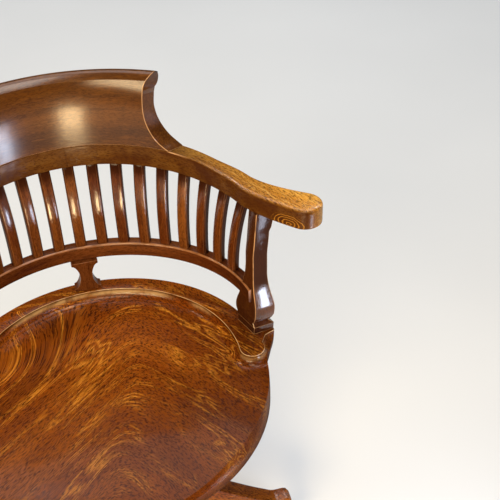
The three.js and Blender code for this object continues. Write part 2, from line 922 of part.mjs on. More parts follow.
function buildSeatFrame() {
  addPiece(seatFrame, 'seat', makeSeat(), oak);
  const sides = { right: 1, left: -1 };
  Object.entries(sides).forEach(([side, sign]) => {
    const flip = new THREE.Group();
    flip.scale.x = sign;
    seatFrame.add(flip);
    addPiece(flip, `arm_${side}`, makeArm(), oak);
    addPiece(flip, `arm_post_${side}`, makePost(), darkOak);
  });
  addPiece(seatFrame, 'crest_rail', makeCrest(), oak);
  addPiece(seatFrame, 'lower_back_rail', makeLowerRail(), darkOak);
  addPiece(seatFrame, 'back_brace', makeBrace(), darkOak);
  for (let i = 0; i < slatCount; i += 1) {
    const name = `slat_${String(i + 1).padStart(2, '0')}`;
    addPiece(seatFrame, name, makeSlat(i - (slatCount - 1) / 2), darkOak);
  }
}

// Irons under the seat

function makeSeatIrons() {
  const top = seatUnder - seatGap;
  const middle = top - ironThickness / 2;
  const sideArm = box(ironReachSide * 2, ironArmWidth, ironThickness, 0, 0, middle);
  const longArm = box(
    ironArmWidth * ironLongArmShare,
    ironReachBack + ironReachFront,
    ironThickness,
    0,
    (ironReachBack - ironReachFront) / 2,
    middle,
  );
  let body = solid(sideArm).add(solid(longArm));
  const lugX = yokeTubeHalf + runGap + lugThickness / 2;
  const lugTop = top - ironThickness / 2;
  [lugX, -lugX].forEach((x) => {
    const lugHeight = lugTop - tiltPinZ;
    const web = box(lugThickness, lugWidth, lugHeight, x, 0, tiltPinZ + lugHeight / 2);
    const eye = crossBar(lugWidth / 2, lugThickness / 2, 0, tiltPinZ).translate(x, 0, 0);
    body = body.add(solid(web)).add(solid(eye));
  });
  const rodLugX = rodEyeHalf + runGap + rodLugThickness / 2;
  [rodLugX, -rodLugX].forEach((x) => {
    const lugHeight = lugTop - rodPinZ;
    const lugMiddle = rodPinZ + lugHeight / 2;
    const web = box(rodLugThickness, rodLugWidth, lugHeight, x, -rodReach, lugMiddle);
    const eye = crossBar(rodLugWidth / 2, rodLugThickness / 2, -rodReach, rodPinZ);
    body = body.add(solid(web)).add(solid(eye.translate(x, 0, 0)));
  });
  body = body.subtract(solid(crossBar(tiltPinRadius + runGap, ironReachSide, 0, tiltPinZ)));
  body = body.subtract(solid(crossBar(rodPinRadius + runGap, ironReachSide, -rodReach, rodPinZ)));
  return fromSolid(body);
}

function makeHeadedPin(radius, halfSpan, head, y, z) {
  const shank = solid(crossBar(radius, halfSpan + runGap + head, y, z, 12));
  const headRadius = radius * pinHeadShare;
  const headX = halfSpan + runGap + head / 2;
  const right = solid(crossBar(headRadius, head / 2, y, z, 12).translate(headX, 0, 0));
  const left = solid(crossBar(headRadius, head / 2, y, z, 12).translate(-headX, 0, 0));
  return fromSolid(shank.add(right).add(left));
}

function makeYoke() {
  const tube = solid(crossBar(yokeTubeRadius, yokeTubeHalf, 0, tiltPinZ));
  const boss = solid(post(yokeBossRadius, yokeBottom, tiltPinZ, 0, 0, 28));
  const noseEnd = rodReach + rodEyeRadius + washerRadius / 2;
  const noseMiddle = (noseTop + noseUnder) / 2;
  const nose = solid(box(yokeNoseWidth, noseEnd, yokeNoseThickness, 0, -noseEnd / 2, noseMiddle));
  const ribHeight = noseUnder - yokeBottom;
  const ribLength = rodReach * yokeRibShare;
  const ribShape = new THREE.Shape([
    new THREE.Vector2(0, 0),
    new THREE.Vector2(ribLength, ribHeight),
    new THREE.Vector2(0, ribHeight),
  ]);
  const ribOptions = { depth: lugThickness, bevelEnabled: false };
  const rib = new THREE.ExtrudeGeometry(ribShape, ribOptions);
  rib.rotateX(Math.PI / 2).rotateZ(-Math.PI / 2);
  rib.translate(lugThickness / 2, -yokeBossRadius / 2, yokeBottom);
  let body = tube.add(boss).add(nose).add(solid(rib));
  const slotWidth = (rodRadius + runGap * yokeSlotShare) * 2;
  const slotStart = rodReach - rodRadius * 2;
  const slotLength = noseEnd - slotStart + cutOver;
  const slotY = -slotStart - slotLength / 2;
  const slot = box(slotWidth, slotLength, yokeNoseThickness * 2, 0, slotY, noseMiddle);
  body = body.subtract(solid(slot));
  body = body.subtract(solid(crossBar(tiltPinRadius + runGap, ironReachSide, 0, tiltPinZ)));
  const boreTop = spindleShoulder + journalHeight + seatGap;
  body = body.subtract(solid(post(journalRadius + runGap, yokeBottom - cutOver, boreTop)));
  return fromSolid(body);
}

function makeTensionRod() {
  const shank = solid(post(rodRadius, rodBottom, rodPinZ, 0, -rodReach, 14));
  const eye = solid(crossBar(rodEyeRadius, rodEyeHalf, -rodReach, rodPinZ));
  const bore = crossBar(rodPinRadius + runGap, rodEyeHalf + cutOver, -rodReach, rodPinZ);
  return fromSolid(shank.add(eye).subtract(solid(bore)));
}

// Places along the spring's wire, whose ends lie square to the faces they press on
function springPlaces() {
  const places = [];
  const turns = springCurls;
  const low = springTop - springLength + springWire;
  const high = springTop - springWire;
  for (let i = 0; i <= turns * springStepsShare; i += 1) {
    const share = i / (turns * springStepsShare);
    const angle = Math.PI * 2 * turns * share;
    places.push(new THREE.Vector3(
      springRadius * Math.cos(angle),
      -rodReach + springRadius * Math.sin(angle),
      mix(low, high, share),
    ));
  }
  return places;
}

function makeSpring() {
  const places = springPlaces();
  const rings = places.map((place, i) => {
    const before = places[Math.max(i - 1, 0)];
    const after = places[Math.min(i + 1, places.length - 1)];
    const heading = after.clone().sub(before).normalize();
    const outwards = new THREE.Vector3(place.x, place.y + rodReach, 0).normalize();
    const upwards = heading.clone().cross(outwards).normalize();
    const ring = [];
    for (let k = 0; k < springSidesShare; k += 1) {
      const angle = (Math.PI * 2 * k) / springSidesShare;
      ring.push(place.clone()
        .addScaledVector(outwards, springWire * Math.cos(angle))
        .addScaledVector(upwards, springWire * Math.sin(angle)));
    }
    return ring;
  });
  let least = Infinity;
  places.forEach((place, i) => {
    for (let j = i + springStepsShare / 2; j < places.length; j += 1) {
      least = Math.min(least, place.distanceTo(places[j]) - springWire * 2);
    }
  });
  console.log(`tension_spring least gap to itself ${least.toFixed(2)} mm`);
  return loft(rings);
}

function rodHole(from, to) {
  return solid(post(rodRadius + runGap, from, to, 0, -rodReach, 14));
}

function makeWasher() {
  const disc = solid(post(washerRadius, washerTop - washerThickness, washerTop, 0, -rodReach));
  const hole = rodHole(washerTop - cutOver, washerTop + cutOver);
  return fromSolid(disc.subtract(hole));
}

// Knob: shares of the radius, against shares of the height
const knobShares = [[0.72, 0], [1, 0.25], [1, 0.6], [0.6, 1]];

function knobRing(radius, z) {
  const ring = [];
  const steps = knobLobes * 4;
  for (let i = 0; i < steps; i += 1) {
    const angle = (Math.PI * 2 * i) / steps;
    const lobed = radius - (knobLobeDepth / 2) * (1 - Math.cos(knobLobes * angle));
    const y = lobed * Math.sin(angle) - rodReach;
    ring.push(new THREE.Vector3(lobed * Math.cos(angle), y, z));
  }
  return ring;
}

function makeKnob() {
  const low = knobTop - knobHeight;
  const rings = knobShares.map(([r, z]) => knobRing(knobRadius * r, low + knobHeight * z));
  return fromSolid(solid(loft(rings)).subtract(rodHole(low - cutOver, knobTop + cutOver)));
}

// Screw spindle, hand wheel, hub

function makeSpindle() {
  const low = spindleShoulder - spindleLength;
  const lead = spindleRadius * spindleLeadShare;
  return lathe([
    [0, low],
    [spindleRadius - lead, low],
    [spindleRadius, low + lead],
    [spindleRadius, spindleShoulder],
    [journalRadius, spindleShoulder],
    [journalRadius, spindleShoulder + journalHeight - lead],
    [journalRadius - lead, spindleShoulder + journalHeight],
    [0, spindleShoulder + journalHeight],
  ], 18);
}

// Hand wheel's boss: shares of the radius, against shares of the height
const wheelBossShares = [[0, 0], [1, 0], [1, 0.6], [0.86, 1], [0, 1]];

function makeHandwheel() {
  const boss = solid(lathe(wheelBossShares.map(([r, z]) => {
    return [wheelBossRadius * r, wheelBottom + wheelBossHeight * z];
  })));
  const rimZ = wheelBottom + wheelBossHeight * wheelRimShare;
  const rim = new THREE.TorusGeometry(wheelRadius - wheelRimRadius, wheelRimRadius, 8, 24);
  let body = boss.add(solid(rim.translate(0, 0, rimZ)));
  for (let i = 0; i < wheelSpokes; i += 1) {
    const angle = (Math.PI * 2 * (i + 0.5)) / wheelSpokes;
    const length = wheelRadius - wheelRimRadius;
    const spoke = new THREE.CylinderGeometry(wheelSpokeRadius, wheelSpokeRadius, length, 6);
    spoke.rotateZ(Math.PI / 2).translate(length / 2, 0, rimZ).rotateZ(angle);
    body = body.add(solid(spoke));
  }
  const bore = post(spindleRadius + runGap, wheelBottom - cutOver, wheelTop + cutOver);
  return fromSolid(body.subtract(solid(bore)));
}

function makeCollar() {
  const inner = spindleRadius + runGap * 2;
  const top = collarBottom + collarHeight;
  const neck = mix(wheelBossRadius, collarRadius, collarNeckShare);
  return bare(lathe([
    [inner, collarBottom],
    [collarRadius, collarBottom],
    [collarRadius, collarBottom + collarFlange],
    [neck, collarBottom + collarFlange * (1 + collarNeckShare)],
    [wheelBossRadius, top],
    [inner, top],
    [inner, collarBottom],
  ], 20));
}

// Turned hub: shares of the radius, against shares of the height
const hubShares = [
  [0.8, 0], [0.9, 0.02], [1, 0.07], [1, 0.86], [0.93, 0.89], [0.97, 0.93], [0.93, 0.98], [0.86, 1],
];

function makeHub() {
  const inner = spindleRadius + runGap * 2;
  const outer = hubShares.map(([r, z]) => [hubRadius * r, hubBottom + hubHeight * z]);
  return bare(lathe([[inner, hubBottom], ...outer, [inner, hubTop], [inner, hubBottom]], 24));
}

// Legs, in a frame whose +X runs outwards along the leg
const legRiseShares = [
  [0, 1], [0.12, 0.97], [0.25, 0.86], [0.4, 0.66], [0.55, 0.44], [0.7, 0.23], [0.82, 0.08],
  [0.9, 0], [1, 0],
];
const legUnderShares = [
  [0, 1], [legFlatShare, 1], [0.32, 0.87], [0.45, 0.66], [0.6, 0.44], [0.75, 0.22],
  [0.85, 0], [1, 0],
];
const legTrimShares = [[0, 0], [0.95, 0], [1, 0.5]];

function makeLeg() {
  const stationShares = [
    0, 0.12, legFlatShare, 0.32, 0.42, 0.52, 0.62, 0.72, 0.8, 0.86, 0.93, 0.98, 1,
  ];
  const rings = stationShares.map((share) => {
    const reach = mix(legRoot, legReach, share);
    const top = mix(legToeTop, legRootTop, read(legRiseShares, share));
    const low = mix(legToeBottom, hubBottom + seatGap, read(legUnderShares, share));
    const trim = legRound * read(legTrimShares, share);
    const half = mix(legWidth, legToeWidth, share) / 2 - trim;
    const corners = [
      [-half, low, legRound / 2], [half, low, legRound / 2],
      [half, top - trim, legRound], [-half, top - trim, legRound],
    ];
    return roundedSection(corners, 1).map(([y, z]) => new THREE.Vector3(reach, y, z));
  });
  let body = solid(loft(rings));
  body = body.subtract(solid(post(hubRadius + seatGap, 0, hubTop + cutOver, 0, 0, 32)));
  const bore = stemRadius + runGap + socketWall + seatGap;
  const boreTop = legToeBottom + stemLength - cutOver;
  body = body.subtract(solid(post(bore, 0, boreTop + seatGap, castorPivotReach, 0, 14)));
  return fromSolid(body);
}

function makeStrap() {
  const top = hubBottom - seatGap;
  const middle = top - strapThickness / 2;
  let body = solid(post(hubRadius * strapDiscShare, top - strapThickness, top));
  body = body.add(solid(box(strapReach * 2, strapWidth, strapThickness, 0, 0, middle)));
  body = body.add(solid(box(strapWidth, strapReach * 2, strapThickness, 0, 0, middle)));
  body = body.subtract(solid(post(spindleRadius + runGap * 2, top - cutOver, top + cutOver)));
  return fromSolid(body);
}

// Castors, in a frame whose origin is the castor's pivot on the floor
const forkCrownTop = legToeBottom - seatGap - socketFlange - seatGap;
const forkHalf = castorWheelWidth / 2 + runGap * 2;

function makeSocket() {
  const flangeTop = legToeBottom - seatGap;
  const tubeTop = legToeBottom + stemLength - cutOver;
  const inner = stemRadius + runGap;
  const flangeBottom = flangeTop - socketFlange;
  return bare(lathe([
    [inner, flangeBottom],
    [socketFlangeRadius, flangeBottom],
    [socketFlangeRadius, flangeTop],
    [inner + socketWall, flangeTop],
    [inner + socketWall, tubeTop],
    [inner, tubeTop],
    [inner, flangeBottom],
  ], 14));
}

function makeFork() {
  const crownLow = forkCrownTop - forkCrownHeight;
  let body = solid(post(forkCrownRadius, crownLow, forkCrownTop, 0, 0, 14));
  const stemTop = forkCrownTop + stemLength - cutOver;
  body = body.add(solid(post(stemRadius, crownLow, stemTop, 0, 0, 10)));
  const cheekDrop = crownLow + forkCrownHeight / 2;
  const cheek = new THREE.Shape([
    new THREE.Vector2(-forkWidth / 2, cheekDrop),
    new THREE.Vector2(castorTrail - forkWidth / 2, castorWheelRadius),
    new THREE.Vector2(castorTrail - forkWidth / 3, castorWheelRadius - forkWidth / 3),
    new THREE.Vector2(castorTrail, castorWheelRadius - forkWidth / 2),
    new THREE.Vector2(castorTrail + forkWidth / 3, castorWheelRadius - forkWidth / 3),
    new THREE.Vector2(castorTrail + forkWidth / 2, castorWheelRadius),
    new THREE.Vector2(castorTrail + forkWidth / 3, castorWheelRadius + forkWidth / 2),
    new THREE.Vector2(forkWidth / 2, cheekDrop),
  ]);
  const cheekGeometry = new THREE.ExtrudeGeometry(cheek, { depth: forkWall, bevelEnabled: false });
  cheekGeometry.rotateX(Math.PI / 2);
  [forkHalf + forkWall, -forkHalf].forEach((y) => {
    body = body.add(solid(cheekGeometry.clone().translate(0, y, 0)));
  });
  const bridge = box(forkWidth, (forkHalf + forkWall) * 2, forkCrownHeight, 0, 0, cheekDrop);
  body = body.add(solid(bridge));
  const hole = new THREE.CylinderGeometry(axleRadius + runGap, axleRadius + runGap, cutOver * 6, 10);
  body = body.subtract(solid(hole.translate(castorTrail, 0, castorWheelRadius)));
  return fromSolid(body);
}

function makeCastorWheel() {
  const half = castorWheelWidth / 2;
  const inner = axleRadius + runGap;
  const tread = castorWheelRadius - castorTreadRound * treadDropShare;
  const shoulder = half - castorTreadRound * (1 - treadDropShare);
  const profile = [
    [inner, -half],
    [tread - castorTreadRound, -half],
    [tread, -shoulder],
    [castorWheelRadius, -half * treadFlatShare],
    [castorWheelRadius, half * treadFlatShare],
    [tread, shoulder],
    [tread - castorTreadRound, half],
    [inner, half],
    [inner, -half],
  ];
  const points = profile.map(([radius, y]) => new THREE.Vector2(radius, y));
  const wheel = new THREE.LatheGeometry(points, 16);
  return bare(wheel.translate(castorTrail, 0, castorWheelRadius));
}

function makeAxle() {
  const span = forkHalf + forkWall + runGap;
  const lengthHalf = span + axleHead;
  const profile = [
    [0, -lengthHalf], [axleHeadRadius, -lengthHalf], [axleHeadRadius, -span], [axleRadius, -span],
    [axleRadius, span], [axleHeadRadius, span], [axleHeadRadius, lengthHalf], [0, lengthHalf],
  ];
  const points = profile.map(([radius, y]) => new THREE.Vector2(radius, y));
  return new THREE.LatheGeometry(points, 10).translate(castorTrail, 0, castorWheelRadius);
}

function buildMechanism() {
  addPiece(whole, 'seat_irons', makeSeatIrons(), iron);
  const lugSpan = yokeTubeHalf + runGap + lugThickness;
  const tiltPin = makeHeadedPin(tiltPinRadius, lugSpan, tiltPinHead, 0, tiltPinZ);
  addPiece(whole, 'tilt_pin', tiltPin, steel);
  const rodSpan = rodEyeHalf + runGap + rodLugThickness;
  const rodPin = makeHeadedPin(rodPinRadius, rodSpan, rodPinHead, -rodReach, rodPinZ);
  addPiece(whole, 'rod_pivot_pin', rodPin, steel);
  addPiece(whole, 'swivel_yoke', makeYoke(), iron);
  addPiece(whole, 'tension_rod', makeTensionRod(), steel);
  addPiece(whole, 'tension_spring', makeSpring(), steel);
  addPiece(whole, 'spring_washer', makeWasher(), steel);
  addPiece(whole, 'tension_knob', makeKnob(), iron);
  addPiece(whole, 'screw_spindle', makeSpindle(), steel);
  addPiece(whole, 'height_handwheel', makeHandwheel(), iron);
}

function buildBase() {
  addPiece(whole, 'hub_collar', makeCollar(), iron);
  addPiece(whole, 'hub', makeHub(), darkOak);
  addPiece(whole, 'leg_strap', makeStrap(), iron);
  const legNames = ['right', 'back', 'left', 'front'];
  for (let i = 0; i < legCount; i += 1) {
    const arm = new THREE.Group();
    arm.rotation.z = (Math.PI * 2 * i) / legCount;
    whole.add(arm);
    addPiece(arm, `leg_${legNames[i]}`, makeLeg(), oak);
    const castor = new THREE.Group();
    castor.position.x = castorPivotReach;
    arm.add(castor);
    addPiece(castor, `castor_socket_${legNames[i]}`, makeSocket(), brass);
    addPiece(castor, `castor_fork_${legNames[i]}`, makeFork(), brass);
    addPiece(castor, `castor_wheel_${legNames[i]}`, makeCastorWheel(), wheelWood);
    addPiece(castor, `castor_axle_${legNames[i]}`, makeAxle(), steel);
  }
}

buildSeatFrame();
buildMechanism();
buildBase();

export default whole;
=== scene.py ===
import logging
import math
from collections.abc import Callable, Iterable, Sequence
from dataclasses import dataclass, field
from enum import Enum

import bmesh
import bpy
from mathutils import Matrix, Vector


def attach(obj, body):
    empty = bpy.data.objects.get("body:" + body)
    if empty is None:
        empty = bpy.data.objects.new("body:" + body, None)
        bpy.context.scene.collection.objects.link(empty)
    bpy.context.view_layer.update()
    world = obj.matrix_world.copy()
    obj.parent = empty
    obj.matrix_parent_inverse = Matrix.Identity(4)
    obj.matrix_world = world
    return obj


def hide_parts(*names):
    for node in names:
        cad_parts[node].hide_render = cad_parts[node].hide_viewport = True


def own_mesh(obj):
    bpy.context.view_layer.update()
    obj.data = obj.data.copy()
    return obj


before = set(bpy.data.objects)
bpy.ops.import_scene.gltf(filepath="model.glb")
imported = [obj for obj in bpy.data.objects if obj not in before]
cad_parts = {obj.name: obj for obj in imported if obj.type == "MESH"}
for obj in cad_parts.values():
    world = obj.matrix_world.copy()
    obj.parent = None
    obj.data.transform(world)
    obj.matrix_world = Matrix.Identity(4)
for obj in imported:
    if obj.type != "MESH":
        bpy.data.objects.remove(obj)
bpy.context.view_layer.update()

logging.basicConfig(level=logging.INFO, format="%(message)s")
LOG = logging.getLogger("chair")

Pair = tuple[float, float]
Triple = tuple[float, float, float]
Colour = tuple[float, float, float, float]
Station = tuple[Vector, Vector, float]
Socket = bpy.types.NodeSocket


class Cap(Enum):
    """How a swept skin is closed at its two ends."""

    FLAT = "flat"
    ZIPPED = "zipped"


class Slot(Enum):
    """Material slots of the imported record."""

    OAK = "oak"
    DARK_OAK = "dark_oak"
    IRON = "black_iron"
    STEEL = "steel"
    BRASS = "castor_brass"
    CASTOR_WOOD = "castor_wood"


def tone(code: str) -> Colour:
    """Turn a screen colour into a linear one.

    Args:
        code: Six hexadecimal digits.

    Returns:
        Linear red, green, blue and a full alpha.
    """
    channels = [int(code[i:i + 2], 16) / 255 for i in (0, 2, 4)]
    linear = [c / 12.92 if c <= 0.04045 else ((c + 0.055) / 1.055) ** 2.4 for c in channels]
    return (linear[0], linear[1], linear[2], 1.0)


def mix(low: float, high: float, share: float) -> float:
    """Return the value at a share of the way from low to high."""
    return low + (high - low) * share


def fade(value: float, none: float, full: float) -> float:
    """Return a share that starts softly at one value and is whole at another.

    Args:
        value: The value to judge.
        none: Where the share is still zero.
        full: Where it reaches one; it may lie under none.

    Returns:
        The share, kept between zero and one.
    """
    share = min(max((value - none) / (full - none), 0.0), 1.0)
    return share * share * (3 - 2 * share)


@dataclass(frozen=True)
class Profile:
    """A curve through listed places that never overshoots them."""

    points: tuple[Pair, ...]
    smooth: bool = True

    def _rise(self, i: int) -> float:
        """Return the slope of the stretch after point i."""
        (x0, y0), (x1, y1) = self.points[i], self.points[i + 1]
        return (y1 - y0) / (x1 - x0)

    def _slope(self, i: int) -> float:
        """Return the curve's slope at point i."""
        if i == 0:
            return self._rise(0)
        if i == len(self.points) - 1:
            return self._rise(i - 1)
        before, after = self._rise(i - 1), self._rise(i)
        return 0.0 if before * after <= 0 else 2 * before * after / (before + after)

    def at(self, place: float) -> float:
        """Read the curve.

        Args:
            place: Where to read it; the ends hold their values beyond the list.

        Returns:
            The curve's value there.
        """
        if place <= self.points[0][0]:
            return self.points[0][1]
        if place >= self.points[-1][0]:
            return self.points[-1][1]
        i = max(k for k in range(len(self.points) - 1) if self.points[k][0] <= place)
        (x0, y0), (x1, y1) = self.points[i], self.points[i + 1]
        span = x1 - x0
        t = (place - x0) / span
        if not self.smooth:
            return mix(y0, y1, t)
        leave, arrive = span * self._slope(i), span * self._slope(i + 1)
        start = (2 * t ** 3 - 3 * t ** 2 + 1) * y0 + (t ** 3 - 2 * t ** 2 + t) * leave
        end = (3 * t ** 2 - 2 * t ** 3) * y1 + (t ** 3 - t ** 2) * arrive
        return start + end


@dataclass(frozen=True)
class Bow:
    """A flat ellipse whose back is at angle zero."""

    half_width: float
    depth: float
    centre_back: float

    def place(self, angle: float) -> tuple[Vector, Vector]:
        """Find a place on the ellipse.

        Args:
            angle: Turn from the back towards the right, in radians.

        Returns:
            The point and its outward normal, both flat.
        """
        sine, cosine = math.sin(angle), math.cos(angle)
        point = Vector((self.half_width * sine, self.centre_back + self.depth * cosine))
        return point, Vector((sine / self.half_width, cosine / self.depth)).normalized()

    def grown(self, by: float) -> "Bow":
        """Return the same bow with both half axes longer."""
        return Bow(self.half_width + by, self.depth + by, self.centre_back)


HOOP = Bow(0.245, 0.275, -0.043)
RAIL = Bow(0.231, 0.200, 0.014)
RIM_HEIGHT = 0.470
POST_HEIGHT = 0.225
ARM_THICKNESS = 0.031
CREST_BASE = POST_HEIGHT + ARM_THICKNESS + 0.004
TILT_ROD_BACK = -0.092
SIDES = {"right": 1.0, "left": -1.0}
LEG_NAMES = ("right", "back", "left", "front")
# Air left between two pieces that meet.
GAP = 0.0003
# Points closer than this are one point.
SAME_PLACE = 1e-6
# A direction that hardly any two points share a place along.
ORDER_AXIS = Vector((1.0, 1.6180339, 2.7182818))


def heading(angle: float) -> Vector:
    """Return the flat unit vector at an angle from the right."""
    return Vector((math.cos(angle), math.sin(angle)))


def evenly(steps: int, end: float = 1.0) -> list[float]:
    """Return evenly spaced values from zero to an end, with both of them."""
    return [end * i / steps for i in range(steps + 1)]


def sides_of(points: Sequence[Vector]) -> Iterable[tuple[Vector, Vector]]:
    """Pair each point of a closed outline with the next one."""
    return zip(points, [*points[1:], points[0]])


def signed_area(points: Sequence[Vector]) -> float:
    """Return a flat outline's area, positive when it runs anticlockwise."""
    return sum(here.x * after.y - after.x * here.y for here, after in sides_of(points)) / 2


def inset_outline(points: Sequence[Vector], distance: float) -> list[Vector]:
    """Move a closed flat outline along its own normals.

    Args:
        points: The outline, in order.
        distance: How far inwards; negative is outwards.

    Returns:
        The moved outline.
    """
    sense = math.copysign(1.0, signed_area(points))
    moved = []
    for i, point in enumerate(points):
        into = (point - points[i - 1]).normalized()
        out = (points[(i + 1) % len(points)] - point).normalized()
        along = (into + out).normalized()
        grow = 1 / max(along.dot(out), 0.5)
        moved.append(point + Vector((-along.y, along.x)) * sense * distance * grow)
    return moved


def cut_corners(points: list[Vector], rounds: int) -> list[Vector]:
    """Round a closed outline by cutting its corners again and again."""
    for _ in range(rounds):
        cut = []
        for here, after in sides_of(points):
            cut += [here.lerp(after, 0.25), here.lerp(after, 0.75)]
        points = cut
    return points


def raised(points: Iterable[Vector], height: float) -> list[Vector]:
    """Lift flat points to one height."""
    return [Vector((point.x, point.y, height)) for point in points]


def stood(place: Vector, outward: Vector, section: Iterable[Pair]) -> list[Vector]:
    """Stand a section over the rim.

    Args:
        place: Flat place of the section's origin.
        outward: Flat direction of its first measure.
        section: Points as outward and up.

    Returns:
        The section's points.
    """
    flats = [(place + outward * out, up) for out, up in section]
    return [Vector((flat.x, flat.y, RIM_HEIGHT + up)) for flat, up in flats]


def round_ring(height: float, radii: Sequence[float], back: float = 0.0) -> list[Vector]:
    """Lay points evenly round an upright axis, one for each radius."""
    return [
        Vector((radius * math.cos(angle), radius * math.sin(angle) + back, height))
        for radius, angle in zip(radii, evenly(len(radii), math.tau))
    ]


def rounding(radius: float, angles: Iterable[float]) -> list[Pair]:
    """Return a round arris's steps from its side to its top, as inset and drop."""
    turns = [math.radians(angle) for angle in angles]
    return [(radius * (1 - math.cos(turn)), radius * (1 - math.sin(turn))) for turn in turns]


def rounded_section(corners: Sequence[Triple], steps: int) -> list[Pair]:
    """Lay out a four-cornered section with round corners.

    Args:
        corners: Across, up and radius of each corner, anticlockwise from the low inner one.
        steps: Steps in each corner.

    Returns:
        The section's points as across and up.
    """
    points = []
    for quarter, (across, up, radius) in enumerate(corners):
        centre_across = across + (-1 if quarter in (1, 2) else 1) * radius
        centre_up = up + (-1 if quarter >= 2 else 1) * radius
        for share in evenly(steps):
            angle = math.pi + math.pi / 2 * (quarter + share)
            points.append((
                centre_across + radius * math.cos(angle), centre_up + radius * math.sin(angle),
            ))
    return points


def box_section(across: Pair, up: Pair, low_round: float, top_round: float,
                steps: int) -> list[Pair]:
    """Lay out a plain section between two places across and two heights."""
    corners = ((across[0], up[0], low_round), (across[1], up[0], low_round),
               (across[1], up[1], top_round), (across[0], up[1], top_round))
    return rounded_section(corners, steps)


